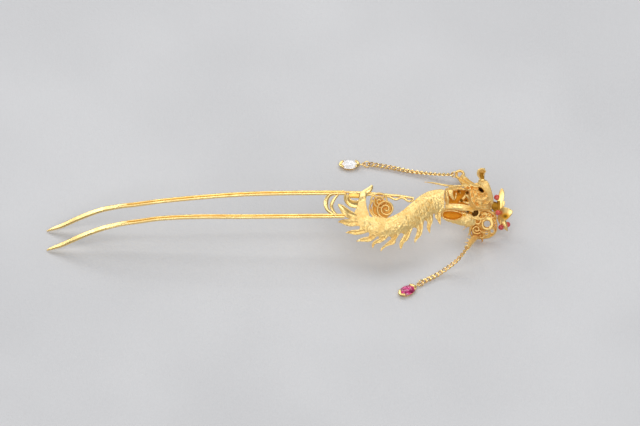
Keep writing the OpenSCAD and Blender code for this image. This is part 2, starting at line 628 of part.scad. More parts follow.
module curb_link(at, along, lean) {
    level = unit(cross(up, along));
    across = level * cos(lean) + cross(along, level) * sin(lean);
    out = cross(along, across);
    route = [for (k = [0 : link_steps - 1]) link_point(at, along, across, out, 360 * k / link_steps)];
    hoop([for (k = [0 : link_steps - 1])
        let (ahead = unit(route[(k + 1) % link_steps] - route[(k + link_steps - 1) % link_steps]))
        let (away = route[k] - at)
        let (side = unit(cross(ahead, away)))
        let (flat = cross(side, ahead))
        [for (s = [0 : link_sides - 1]) let (a = -360 * s / link_sides)
            route[k] + flat * cos(a) * link_wire / 2 + side * sin(a) * link_wire / 2]]);
}

// Length of a run up to row i, and the place at a given length
function length_to(run, i) = i == 0 ? 0 : length_to(run, i - 1) + norm(spot(run[i]) - spot(run[i - 1]));
function row_at(run, lengths, s) =
    let (i = max([for (k = [0 : len(run) - 2]) lengths[k] <= s ? k : 0]))
    run[i] + (run[i + 1] - run[i]) * (s - lengths[i]) / (lengths[i + 1] - lengths[i]);

// Curb chain with a link at both ends of the table, and the pitch nearest to the named one
module chain(rows) {
    run = smooth(rows, 6);
    lengths = [for (i = [0 : len(run) - 1]) length_to(run, i)];
    total = lengths[len(run) - 1];
    gaps = round(total / link_pitch);
    for (k = [0 : gaps]) {
        here = row_at(run, lengths, total * k / gaps);
        ahead = row_at(run, lengths, total * k / gaps + link_reach);
        behind = row_at(run, lengths, total * k / gaps - link_reach);
        curb_link(spot(here), unit(spot(ahead) - spot(behind)), here[3]);
    }
}

module back_chain() {
    color(gold) placed() {
        wire_ring(joint_ring, ring_axis(joint_ring_turn), right, joint_ring_r, ring_wire, 12, 6);
        chain(back_chain_rows);
    }
}

module front_chain() {
    color(gold) placed()
        chain(front_chain_rows);
}

// Marquise outline of half length a and half width b, at height z
function marquise(a, b, z, n = 5) =
    let (r = (a * a + b * b) / (2 * b), reach = asin(a / r))
    concat(
        [for (k = [0 : n - 1]) let (t = -reach + 2 * reach * k / n) [r * sin(t), r * cos(t) - r + b, z]],
        [for (k = [0 : n - 1]) let (t = reach - 2 * reach * k / n) [r * sin(t), -(r * cos(t) - r + b), z]]);

// Stone: table, girdle and keel, with the girdle at height 0
table_share = [0.58, 0.55];
keel_share = 0.45;
crown_share = 0.36;
module stone() {
    a = stone_l / 2;
    b = stone_w / 2;
    keel_z = (crown_share - 1) * stone_h;
    points = concat(
        marquise(a * table_share[0], b * table_share[1], stone_h * crown_share),
        marquise(a, b, 0),
        [[-a * keel_share, 0, keel_z], [a * keel_share, 0, keel_z]]);
    hull()
        polyhedron(points = points, faces = [[for (k = [0 : len(points) - 1]) k]]);
}

// Collet with a claw at each end and the bail ring
foot_share = [0.7, 0.6];
rim_z = 0.12;
seat_z = -0.06;
bail_z = -0.15;
// Claw and bail stem
// columns: along from the stone's point, across, height, width, thickness
claw_rows = [[0.62, 0, -0.3, 0.8, 0.6], [0.42, 0, 0.3, 0.75, 0.5], [-0.05, 0, 0.62, 0.45, 0.25]];
bail_rows = [[0.4, 0, -0.3, 0.5, 0.5], [1.0, 0, -0.2, 0.4, 0.36], [1.45, 0, -0.15, 0.36, 0.34]];
bail_r = 0.6;
bail_wire = 0.34;
stone_gap = 0.12;
module setting() {
    a = stone_l / 2;
    b = stone_w / 2;
    hoop([
        marquise(a * foot_share[0] + collet_wall, b * foot_share[1] + collet_wall, -drop_z),
        marquise(a + collet_wall * 1.4 + stone_gap, b + collet_wall + stone_gap, rim_z),
        marquise(a + stone_gap, b + stone_gap, rim_z),
        marquise(a + stone_gap, b + stone_gap, seat_z),
        marquise(a * foot_share[0], b * foot_share[1], -drop_z)]);
    back = [0, 1, 0];
    for (side = [-1, 1])
        ribbon([for (row = claw_rows) [side * (a + row[0]), row[1], row[2], row[3], row[4]]], back, 6, 2);
    ribbon([for (row = bail_rows) [a + row[0], row[1], row[2], row[3], row[4]]], back, 6, 1);
    wire_ring([bail_reach, 0, bail_z], up, right, bail_r, bail_wire, 12, 6);
}

module at_drop(at, turn) {
    placed()
        translate(at)
            rotate([0, 0, turn])
                children();
}
module jump_ring() {
    translate([bail_reach + jump_r, 0, jump_z - drop_z])
        wire_ring([0, 0, 0], ring_axis(jump_turn), right, jump_r, ring_wire, 12, 6);
}

module clear_setting() color(pale_gold) at_drop(clear_at, clear_turn) setting();
module ruby_setting() color(pale_gold) at_drop(ruby_at, ruby_turn) setting();
module clear_stone() color(clear) at_drop(clear_at, clear_turn) stone();
module ruby_stone() color(ruby) at_drop(ruby_at, ruby_turn) stone();
module back_jump_ring() color(gold) at_drop(clear_at, clear_turn) jump_ring();
module front_jump_ring() color(gold) at_drop(ruby_at, ruby_turn) jump_ring();

hair_fork();
spine_rail();
tail_leaves();
scroll_cloud();
body_shell();
head_shell();
lower_jaw();
face_scrolls();
star_flower();
bead_1();
bead_2();
bead_3();
bead_4();
back_rod();
front_rod();
back_chain();
front_chain();
back_jump_ring();
front_jump_ring();
clear_setting();
ruby_setting();
clear_stone();
ruby_stone();
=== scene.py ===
from math import asin, atan2, ceil, cos, exp, floor, pi, radians, sin, sqrt
import bmesh
import bpy
from mathutils import Matrix, Vector, noise
from mathutils.kdtree import KDTree


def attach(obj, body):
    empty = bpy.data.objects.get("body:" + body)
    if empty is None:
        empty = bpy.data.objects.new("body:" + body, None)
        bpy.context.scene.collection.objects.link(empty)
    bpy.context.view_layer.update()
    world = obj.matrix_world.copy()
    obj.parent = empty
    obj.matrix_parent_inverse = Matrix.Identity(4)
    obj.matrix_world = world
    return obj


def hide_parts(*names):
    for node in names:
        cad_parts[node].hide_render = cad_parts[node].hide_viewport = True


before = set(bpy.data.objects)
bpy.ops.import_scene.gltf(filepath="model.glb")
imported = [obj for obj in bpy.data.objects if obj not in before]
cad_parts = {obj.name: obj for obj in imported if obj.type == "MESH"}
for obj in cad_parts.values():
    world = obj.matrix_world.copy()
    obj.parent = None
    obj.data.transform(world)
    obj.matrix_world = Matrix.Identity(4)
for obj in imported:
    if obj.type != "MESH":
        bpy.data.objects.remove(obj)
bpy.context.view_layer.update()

# Shapes are in millimetres round the fork's middle line, and move into the frame when a piece is finished
mm = 0.001
middleY = 5.2
right = Vector((1, 0, 0))
up = Vector((0, 0, 1))
rise = Vector((0, sqrt(0.5), sqrt(0.5)))         # up the show side, which leans back at 45 degrees
showSide = Vector((0, -sqrt(0.5), sqrt(0.5)))    # out of the show side, towards the viewer


def onShow(along, high, out):
    return right * along + rise * high + showSide * out


def fromShow(rows):
    return [(*onShow(*row[:3]), *row[3:]) for row in rows]


def between(a, b, c, d, t):
    return [
        (2 * q + (r - p) * t + (2 * p - 5 * q + 4 * r - s) * t * t + (3 * q - p - 3 * r + s) * t ** 3) / 2
        for p, q, r, s in zip(a, b, c, d)
    ]


def smoothRun(rows, steps):
    last = len(rows) - 1
    run = []
    for i in range(last):
        for k in range(steps):
            run.append(between(rows[max(i - 1, 0)], rows[i], rows[i + 1], rows[min(i + 2, last)], k / steps))
    return run + [list(rows[last])]


def closedRun(points, steps):
    count = len(points)
    return [between(points[i - 1], points[i], points[(i + 1) % count], points[(i + 2) % count], k / steps)
            for i in range(count) for k in range(steps)]


def held(value):
    return min(1, max(0, value))


def inBox(along, high, box):
    return box[0] < along < box[1] and box[2] < high < box[3]


def heading(run, i):
    return (Vector(run[min(i + 1, len(run) - 1)][:3]) - Vector(run[max(i - 1, 0)][:3])).normalized()


# Selecting, joining and modifiers
def clearSelection():
    if bpy.context.mode != "OBJECT":
        bpy.ops.object.mode_set(mode="OBJECT")
    bpy.ops.object.select_all(action="DESELECT")


def pick(*things):
    clearSelection()
    for thing in things:
        thing.select_set(True)
    bpy.context.view_layer.objects.active = things[0]


def joined(*things):
    pick(*things)
    if len(things) > 1:
        bpy.ops.object.join()
    return bpy.context.object


def applied(thing, kind, **settings):
    pick(thing)
    bpy.ops.object.modifier_add(type=kind)
    modifier = thing.modifiers[-1]
    for key, value in settings.items():
        setattr(modifier, key, value)
    bpy.ops.object.modifier_apply(modifier=modifier.name)
    return thing


def cutBy(thing, cutter):
    applied(thing, "BOOLEAN", operation="DIFFERENCE", object=cutter, solver="EXACT")
    bpy.data.objects.remove(cutter)
    return thing


def fused(things, voxel, smoothing):
    whole = joined(*things)
    applied(whole, "REMESH", mode="VOXEL", voxel_size=voxel)
    return applied(whole, "SMOOTH", factor=0.5, iterations=smoothing)


def outward(thing):
    pick(thing)
    bpy.ops.object.mode_set(mode="EDIT")
    bpy.ops.mesh.select_all(action="SELECT")
    bpy.ops.mesh.remove_doubles(threshold=1e-5)
    bpy.ops.mesh.normals_make_consistent(inside=False)
    bpy.ops.object.mode_set(mode="OBJECT")
    return thing


# Forging: a bar along a run of rows (x, y, z, width, thickness), a domed sheet, a ring
def ovalAt(row, sides):
    turns = [2 * pi * k / sides for k in range(sides)]
    return [(row[3] / 2 * cos(turn), row[4] / 2 * sin(turn)) for turn in turns]


def forgedBar(rows, face=showSide, sides=14, steps=7, section=ovalAt, dish=0):
    run = smoothRun(rows, steps)
    rings = len(run)
    clearSelection()
    bpy.ops.mesh.primitive_cylinder_add(vertices=sides, radius=1, depth=2, end_fill_type="NGON")
    bar = bpy.context.object
    bpy.ops.object.mode_set(mode="EDIT")
    bpy.ops.mesh.select_mode(type="EDGE")
    bpy.ops.mesh.select_all(action="DESELECT")
    mesh = bmesh.from_edit_mesh(bar.data)
    for edge in mesh.edges:
        edge.select_set(abs(edge.verts[0].co.z - edge.verts[1].co.z) > 1)
    bmesh.update_edit_mesh(bar.data)
    bpy.ops.mesh.subdivide(number_cuts=rings - 2)
    bpy.ops.object.mode_set(mode="OBJECT")
    sections = [section(row, sides) for row in run]
    frames = []
    for i in range(rings):
        along = heading(run, i)
        across = face.cross(along).normalized()
        frames.append((Vector(run[i][:3]), across, along.cross(across)))
    for vertex in bar.data.vertices:
        i = round((vertex.co.z + 1) / 2 * (rings - 1))
        k = round((atan2(vertex.co.y, vertex.co.x) - pi / 2) / (2 * pi) * sides) % sides   # it starts at +Y
        at, across, out = frames[i]
        a, b = sections[i][k]
        half = max(run[i][3] / 2, 1e-6)
        vertex.co = at + across * a + out * (b - dish * run[i][3] * (1 - (a / half) ** 2))
    return outward(bar)


def domedGrid(rows, cells, steps, power=0.8):
    run = smoothRun(rows, steps)
    grid = []
    for i, row in enumerate(run):
        back, front = Vector(row[:3]), Vector(row[3:6])
        out = (front - back).cross(heading(run, i)).normalized()
        grid.append([back.lerp(front, j / cells) + out * row[6] * sin(pi * j / cells) ** power
                     for j in range(cells + 1)])
    return grid


def domedSheet(grid, thickness):
    rows, columns = len(grid), len(grid[0])
    clearSelection()
    bpy.ops.mesh.primitive_grid_add(x_subdivisions=columns - 1, y_subdivisions=rows - 1, size=2)
    sheet = bpy.context.object
    for vertex in sheet.data.vertices:
        i = round((vertex.co.y + 1) / 2 * (rows - 1))
        j = round((vertex.co.x + 1) / 2 * (columns - 1))
        vertex.co = grid[i][j]
    return applied(sheet, "SOLIDIFY", thickness=thickness, offset=0)


# A sheet cut to an outline (along, up the show side), then raised out of the show side by what depthAt says
def raisedSheet(outline, thickness, voxel, smoothing, depthAt):
    clearSelection()
    bpy.ops.mesh.primitive_circle_add(vertices=len(outline), radius=1, fill_type="NGON")
    sheet = bpy.context.object
    for vertex, (along, high) in zip(sheet.data.vertices, outline):
        vertex.co = (along, high, -thickness / 2)
    bpy.ops.object.mode_set(mode="EDIT")
    bpy.ops.mesh.select_all(action="SELECT")
    bpy.ops.mesh.extrude_region_move(TRANSFORM_OT_translate={"value": (0, 0, thickness)})
    bpy.ops.mesh.normals_make_consistent(inside=False)
    bpy.ops.object.mode_set(mode="OBJECT")
    applied(sheet, "REMESH", mode="VOXEL", voxel_size=voxel)
    applied(sheet, "SMOOTH", factor=0.5, iterations=smoothing)
    for vertex in sheet.data.vertices:
        along, high, out = vertex.co
        vertex.co = onShow(along, high, out + depthAt(along, high))
    return sheet


# Smooth mean, at any place, of the values of the spots round it. A spot is along, up the show side, values
def field(spots, reach, count=16):
    tree = KDTree(len(spots))
    for i, spot in enumerate(spots):
        tree.insert((spot[0], spot[1], 0), i)
    tree.balance()
    width = len(spots[0]) - 2

    def valuesAt(along, high):
        found = tree.find_n((along, high, 0), count)
        nearest = found[0][2]
        totals, weights = [0] * width, 0
        for _, i, gap in found:
            weight = exp(-((gap - nearest) / reach) ** 2)
            weights += weight
            for k in range(width):
                totals[k] += weight * spots[i][k + 2]
        return [total / weights for total in totals]

    return valuesAt


# Height of a rounded ridge along a line
def ridge(along, high, line, width, height):
    nearest = 100
    for (a, b), (c, d) in zip(line, line[1:]):
        length = max((c - a) ** 2 + (d - b) ** 2, 1e-9)
        t = held(((along - a) * (c - a) + (high - b) * (d - b)) / length)
        nearest = min(nearest, sqrt((along - a - (c - a) * t) ** 2 + (high - b - (d - b) * t) ** 2))
    return height * exp(-(nearest / width) ** 2)


def grained(along, high, size, height):
    return height * noise.noise(Vector((along / size, high / size, 3.7)))


def roughened(thing, size, height):
    normals = [vertex.normal.copy() for vertex in thing.data.vertices]
    for vertex, normal in zip(thing.data.vertices, normals):
        vertex.co += normal * grained(vertex.co.x, vertex.co.dot(rise), size, height)
    return thing


# Marks how much painted shade, in the deep colour of a hollow, each point of a piece has. Points that face
# away stay plain
def hollowed(thing, shareAt, leastFacing=-0.3):
    mark = thing.data.attributes.new("hollow", "FLOAT", "POINT")
    facing = [vertex.normal.dot(showSide) for vertex in thing.data.vertices]
    for i, vertex in enumerate(thing.data.vertices):
        if facing[i] > leastFacing:
            place = vertex.co
            mark.data[i].value = shareAt(place.x, place.dot(rise), place.dot(showSide))
    return thing


def shapedHoop(around, sides, spot):
    clearSelection()
    middle = 2
    bpy.ops.mesh.primitive_torus_add(major_segments=around, minor_segments=sides,
                                     major_radius=middle, minor_radius=middle / 4)
    hoop = bpy.context.object
    for vertex in hoop.data.vertices:
        x, y, z = vertex.co
        turn = round(atan2(y, x) / (2 * pi) * around) % around
        side = round(atan2(z, sqrt(x * x + y * y) - middle) / (2 * pi) * sides) % sides
        vertex.co = spot(turn, side)
    return outward(hoop)


def wireRing(at, axis, radius, wire, around=36, sides=12):
    a = axis.normalized()
    p = (right - a * right.dot(a)).normalized()
    q = a.cross(p)

    def spot(turn, side):
        t, s = 2 * pi * turn / around, 2 * pi * side / sides
        return at + (p * cos(t) + q * sin(t)) * (radius + wire / 2 * cos(s)) + a * wire / 2 * sin(s)

    return shapedHoop(around, sides, spot)


def curl(along, high, out, inner, outer, start, turn, wide, deep, sides=10, step=15):
    count = ceil(turn / step)
    rows = []
    for k in range(count + 1):
        a, r = radians(start + turn * k / count), inner + (outer - inner) * k / count
        rows.append((along + cos(a) * r, high + sin(a) * r, out, wide, deep))
    return forgedBar(fromShow(rows), showSide, sides, 1)


def plainRows(rows, width, tip):
    last = len(rows) - 1
    return [(*row[:3], width + (tip - width) * i / last, width + (tip - width) * i / last)
            for i, row in enumerate(rows)]


# Shader maths: a wrapped socket can stand in sums
class Reading:
    def __init__(self, finish, socket):
        self.finish, self.socket = finish, socket

    def worked(self, operation, first, second):
        return self.finish.reading("ShaderNodeMath", {"operation": operation}, {0: first, 1: second})

    def __add__(self, other):
        return self.worked("ADD", self, other)

    def __sub__(self, other):
        return self.worked("SUBTRACT", self, other)

    def __rsub__(self, other):
        return self.worked("SUBTRACT", other, self)

    def __mul__(self, other):
        return self.worked("MULTIPLY", self, other)

    __radd__ = __add__
    __rmul__ = __mul__


class Finish:
    def __init__(self, name):
        self.material = bpy.data.materials.new(name)
        self.material.use_nodes = True
        self.tree = self.material.node_tree
        self.shader = self.tree.nodes["Principled BSDF"]

    def node(self, kind, settings, values):
        made = self.tree.nodes.new(kind)
        for key, value in settings.items():
            setattr(made, key, value)
        for key, value in values.items():
            self.fed(made.inputs[key], value)
        return made

    def fed(self, socket, value):
        if isinstance(value, Reading):
            self.tree.links.new(value.socket, socket)
        else:
            socket.default_value = value

    def reading(self, kind, settings, values, output=0):
        return Reading(self, self.node(kind, settings, values).outputs[output])

    def place(self):
        return self.reading("ShaderNodeTexCoord", {}, {}, "Object")

    def noise(self, scale, detail=2.0, roughness=0.5):
        values = {"Vector": self.place(), "Scale": scale, "Detail": detail, "Roughness": roughness}
        return self.reading("ShaderNodeTexNoise", {}, values)

    def banded(self, value, low, high, first=0.0, last=1.0):
        values = {"Value": value, "From Min": low, "From Max": high, "To Min": first, "To Max": last}
        return self.reading("ShaderNodeMapRange", {"interpolation_type": "SMOOTHSTEP"}, values)

    def clamped(self, value):
        return self.reading("ShaderNodeClamp", {}, {"Value": value, "Min": 0.0, "Max": 1.0})

    def mixed(self, factor, first, second):
        return self.reading("ShaderNodeMix", {"data_type": "RGBA"}, {0: factor, 6: first, 7: second}, 2)

    def set(self, **values):
        for key, value in values.items():
            self.fed(self.shader.inputs[key.replace("_", " ")], value)

    def bumped(self, height, distance, strength=1.0):
        self.set(Normal=self.reading("ShaderNodeBump", {},
                                     {"Strength": strength, "Distance": distance, "Height": height}))


goldLook = {
    "bright": (1.0, 0.75, 0.32, 1),      # open, polished metal
    "warm": (0.93, 0.56, 0.16, 1),       # painted shade where the metal faces itself, and the tone of the aged patches
    "deep": (0.86, 0.43, 0.035, 1),      # painted shade at the bottom of a hollow, hollow mark 1, and the tone of the mottling
    "dark": (0.05, 0.02, 0.008, 1),      # painted shadow in the deepest holes and creases, hollow mark 2
    # reach of the ambient occlusion that paints shade into creases
    "hollowReach": 0.0012,
    "hollowDullness": 0.25,              # added to the roughness at hollow mark 1
    "ageing": 0.22,                      # most that a warm patch covers
    "patchScale": 260,
    "mottleScale": 1200,
    "fineScale": 2600,
    "scratchScale": 5200.0,
    "scratchDirection": (0.06, 1.0, 1.0),    # drawn out along X
    "reliefDepth": 0.00008,
}


def goldFinish(name, roughness, metallic, grain, grainDepth, scratchDepth, hollow, mottling):
    finish = Finish(name)
    place = finish.place()
    patches = finish.noise(goldLook["patchScale"], 3)
    fine = finish.noise(goldLook["fineScale"], 2)
    stretched = finish.reading("ShaderNodeVectorMath", {"operation": "MULTIPLY"},
                               {0: place, 1: goldLook["scratchDirection"]})
    scratches = finish.reading("ShaderNodeTexNoise", {},
                               {"Vector": stretched, "Scale": goldLook["scratchScale"], "Detail": 1.0})
    # Painted shade: where ambient occlusion finds the metal closed in, the colour goes to warm and then to
    # deep; hollow sets how much of it shows
    openness = finish.reading("ShaderNodeAmbientOcclusion", {"samples": 6},
                              {"Distance": goldLook["hollowReach"]}, "AO")
    # The hollow mark paints shade in the deep colour, and from 1 to 2 painted shadow in the dark colour
    marked = finish.reading("ShaderNodeAttribute", {"attribute_name": "hollow"}, {}, "Fac")
    faced = finish.banded(openness, 0.35, 0.95)
    closed = finish.banded(openness, 0.0, 0.5)
    warm = finish.mixed(closed, goldLook["deep"], goldLook["warm"])
    metal = finish.mixed(faced * hollow + (1 - hollow), warm, goldLook["bright"])
    aged = finish.mixed(finish.banded(patches, 0.35, 0.7, 0.0, goldLook["ageing"]), metal, goldLook["warm"])
    mottled = finish.banded(finish.noise(goldLook["mottleScale"], 2), 0.45, 0.7, 0.0, mottling)
    tinted = finish.mixed(mottled, aged, goldLook["deep"])
    toned = finish.mixed(finish.clamped(marked), tinted, goldLook["deep"])
    worn = finish.banded(patches, 0.3, 0.75, roughness * 0.75, roughness * 1.3)
    finish.set(Base_Color=finish.mixed(finish.clamped(marked - 1), toned, goldLook["dark"]),
               Metallic=metallic,
               Roughness=worn + finish.banded(scratches, 0.55, 0.75) * 0.08
               + finish.clamped(marked) * goldLook["hollowDullness"])
    cells = finish.reading("ShaderNodeTexVoronoi", {"feature": "F1"}, {"Vector": place, "Scale": grain})
    height = cells * grainDepth + fine * grainDepth + scratches * scratchDepth
    finish.bumped(height, goldLook["reliefDepth"])
    return finish.material


def stoneFinish(name, colour, shade, ior, depth, glint):
    finish = Finish(name)
    veil = finish.noise(900, 3)
    pale = (min(colour[0] * 1.15, 1), min(colour[1] * 1.5 + 0.02, 1), min(colour[2] * 1.3 + 0.02, 1), 1)
    cut = {"feature": "F1", "distance": "MANHATTAN"}
    cells = {"Vector": finish.place(), "Scale": 900.0}
    # Painted reflections: each facet of the cut gets its own place between colour and shade
    facets = finish.reading("ShaderNodeTexVoronoi", cut, cells, "Color")
    slopes = finish.reading("ShaderNodeTexVoronoi", cut, cells, "Distance")
    inner = finish.mixed(finish.banded(facets, 0.36, 0.64), shade, colour)
    finish.set(Base_Color=finish.mixed(finish.banded(veil, 0.35, 0.7, 0.0, 0.6), inner, pale),
               Roughness=finish.banded(veil, 0.4, 0.7, 0.02, 0.06))
    finish.bumped(slopes, 0.0003 * glint)
    finish.shader.inputs["Transmission Weight"].default_value = depth
    finish.shader.inputs["IOR"].default_value = ior
    finish.shader.inputs["Coat Weight"].default_value = glint
    finish.shader.inputs["Coat Roughness"].default_value = 0.05
    return finish.material


def beadFinish(name):
    finish = Finish(name)
    cloud = finish.noise(700, 4)
    specks = finish.noise(6000, 1)
    dark, light = (0.55, 0.03, 0.03, 1), (0.82, 0.13, 0.09, 1)
    finish.set(Base_Color=finish.mixed(finish.banded(cloud, 0.3, 0.7), dark, light),
               Roughness=finish.banded(cloud, 0.3, 0.8, 0.16, 0.3))
    finish.shader.inputs["Coat Weight"].default_value = 0.5
    finish.shader.inputs["Coat Roughness"].default_value = 0.08
    finish.bumped(specks * 0.4 + cloud, 0.00004)
    return finish.material


def paperFinish(name):
    finish = Finish(name)
    fibres = finish.noise(900, 5, 0.6)
    clouds = finish.noise(14, 2)
    dark, light = (0.63, 0.63, 0.64, 1), (0.68, 0.68, 0.69, 1)
    finish.set(Base_Color=finish.mixed(finish.banded(clouds, 0.3, 0.7), dark, light),
               Roughness=finish.banded(fibres, 0.3, 0.7, 0.75, 0.95))
    finish.bumped(fibres, 0.0004, 0.35)
    return finish.material


goldKinds = {
    "polishedGold": {"roughness": 0.3, "metallic": 0.95, "grain": 5200.0, "grainDepth": 0.05,
                     "scratchDepth": 0.25, "hollow": 0.8, "mottling": 0.0},
    "chasedGold": {"roughness": 0.46, "metallic": 0.8, "grain": 3000.0, "grainDepth": 0.6,
                   "scratchDepth": 0.2, "hollow": 1.0, "mottling": 0.28},
    "wireGold": {"roughness": 0.2, "metallic": 1.0, "grain": 5200.0, "grainDepth": 0.05,
                 "scratchDepth": 0.2, "hollow": 0.9, "mottling": 0.0},
}
# colour of the lit facets and of the shaded ones, painted in as light thrown back by the cut; bending of
# light, share of the light that passes, shine of the surface
stoneKinds = {
    "clearStone": {"colour": (1.0, 1.0, 1.0, 1), "shade": (0.92, 0.89, 0.89, 1),
                   "ior": 1.9, "depth": 0.0, "glint": 0.6},
    "rubyStone": {"colour": (0.95, 0.05, 0.28, 1), "shade": (0.3, 0.0, 0.07, 1),
                  "ior": 1.76, "depth": 0.15, "glint": 0.2},
}
finishes = {
    "polished": ("polished_gold", goldFinish("polishedGold", **goldKinds["polishedGold"])),
    "chased": ("chased_gold", goldFinish("chasedGold", **goldKinds["chasedGold"])),
    "wire": ("chain_gold", goldFinish("wireGold", **goldKinds["wireGold"])),
    "bead": ("red_bead", beadFinish("coralRed")),
    "clear": ("clear_stone", stoneFinish("clearStone", **stoneKinds["clearStone"])),
    "ruby": ("ruby_stone", stoneFinish("rubyStone", **stoneKinds["rubyStone"])),
}
print("finishes ready")


def finished(thing, name, node, finishName, sharp=40):
    slotName, material = finishes[finishName]
    thing.name = name
    thing.data.name = name
    thing.data.transform(Matrix.Scale(mm, 4) @ Matrix.Translation((0, -middleY, 0)))
    pick(thing)
    bpy.ops.object.shade_smooth_by_angle(angle=radians(sharp))
    thing.data.materials.clear()
    thing.data.materials.append(material)
    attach(thing, "root")
    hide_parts(node)
    print(name, len(thing.data.polygons), "faces")
    return thing


# Fork: two grooved prongs and the crescent bridge across their root
forkParts = {
    # x, distance from the middle, height, width, thickness, groove depth
    "prong": [
        (-75.2, 4.35, 0.42, 0.3, 0.3, 0), (-73.4, 4.35, 1.4, 1.2, 0.6, 0), (-70.0, 4.35, 3.1, 1.9, 0.75, 0),
        (-64.5, 4.35, 6.6, 2.15, 0.8, 0), (-58.0, 4.3, 10.0, 2.1, 0.8, 0), (-52.5, 4.1, 11.8, 1.9, 0.85, 0),
        (-49.5, 4.0, 12.5, 1.75, 0.95, 0.1), (-46.0, 3.95, 13.1, 1.75, 0.95, 0.3),
        (-38.0, 3.95, 14.6, 1.75, 0.95, 0.3), (-26.0, 4.4, 15.8, 1.75, 0.95, 0.3),
        (-12.0, 5.1, 16.5, 1.75, 0.95, 0.3), (4.0, 5.3, 16.9, 1.75, 0.95, 0.3),
        (20.8, 5.3, 17.0, 1.75, 0.95, 0.3)],
    # half outline across a prong: share of the width, share of the thickness, share of the groove's depth
    "outline": [(0.5, 0, 0), (0.47, 0.28, 0), (0.39, 0.45, 0), (0.27, 0.5, 0), (0.17, 0.48, 0.1),
                (0.1, 0.46, 0.75), (0, 0.46, 1)],
    "under": [(-0.3, -0.5, 0), (0.3, -0.5, 0), (0.43, -0.36, 0)],
    "grooveReach": 0.22,                 # half the width of the painted shadow line in the groove
    "grooveStart": 0.12,                 # least depth at which the groove gets the painted shadow
    "grooveShade": 1.25,
    # x, y, z, width, thickness
    "outerBand": [(18.6, 5.2, 17.0, 0.9, 0.8), (15.9, 3.9, 17.1, 1.2, 0.9), (14.8, 0.9, 17.2, 1.5, 0.9),
                  (15.4, -2.8, 17.1, 1.2, 0.9), (18.0, -5.2, 17.0, 0.9, 0.8)],
    "innerBand": [(18.9, 4.9, 16.8, 0.7, 0.7), (17.4, 2.8, 16.3, 1.0, 0.7), (16.6, 0.4, 16.1, 1.2, 0.7),
                  (17.2, -2.4, 16.3, 1.0, 0.7), (18.6, -4.9, 16.8, 0.7, 0.7)],
}


def prongSection(row, sides):
    half = forkParts["outline"]
    points = half + [(-a, b, c) for a, b, c in reversed(half[:-1])]
    points += [(-forkParts["under"][2][0], *forkParts["under"][2][1:])] + forkParts["under"]
    return [(a * row[3], b * row[4] - c * max(row[5], 0)) for a, b, c in points]


def hairFork():
    bars = []
    for side in (1, -1):
        rows = [(x, side * y, z, w, t, g) for x, y, z, w, t, g in forkParts["prong"]]
        bars.append(forgedBar(rows, up, 17, 8, prongSection))
    prongs = joined(*bars)
    bands = [forgedBar(forkParts[name], up, 16, 8) for name in ("outerBand", "innerBand")]
    middles = smoothRun(forkParts["prong"], 8)

    # Painted shadow: a dark line along the groove on top of each prong
    def inGroove(along, high, out):
        y, z = (high - out) * rise.y, (high + out) * rise.y
        row = min(middles, key=lambda other: abs(other[0] - along))
        deep = row[5] > forkParts["grooveStart"] and z > row[2]
        return forkParts["grooveShade"] if deep and abs(abs(y) - row[1]) < forkParts["grooveReach"] else 0

    return finished(joined(hollowed(prongs, inGroove), *bands), "hairFork", "hair_fork", "polished", 50)


hairFork()

# Rail from the back prong to the body: a straight wire over a wavy one
railParts = {
    # x, y, z of the straight wire
    "rows": [(20.8, 5.2, 17.4), (24.0, 5.2, 17.3), (29.0, 5.0, 17.1), (34.8, 4.5, 16.8), (39.4, 4.1, 16.6),
             (43.2, 3.2, 16.5)],
    "cells": 5,                          # waves of the lower wire
    "deep": 1.3,
    "wave": (0.67, 0.3),                 # middle and swing of the lower wire, as shares of the depth
    "topWire": (0.85, 0.75),             # width, thickness
    "waveWire": 0.76,
}


def spineRail():
    run = smoothRun(railParts["rows"], 12)
    last = len(run) - 1
    middle, swing = railParts["wave"]
    waves = []
    for i, row in enumerate(run):
        low = railParts["deep"] * (middle - swing * cos(2 * pi * railParts["cells"] * i / last))
        waves.append((*(Vector(row) - rise * low), railParts["waveWire"], railParts["waveWire"]))
    top = [(*row, *railParts["topWire"]) for row in railParts["rows"]]
    return finished(joined(forgedBar(top), forgedBar(waves, steps=2)), "spineRail", "spine_rail", "polished")


spineRail()

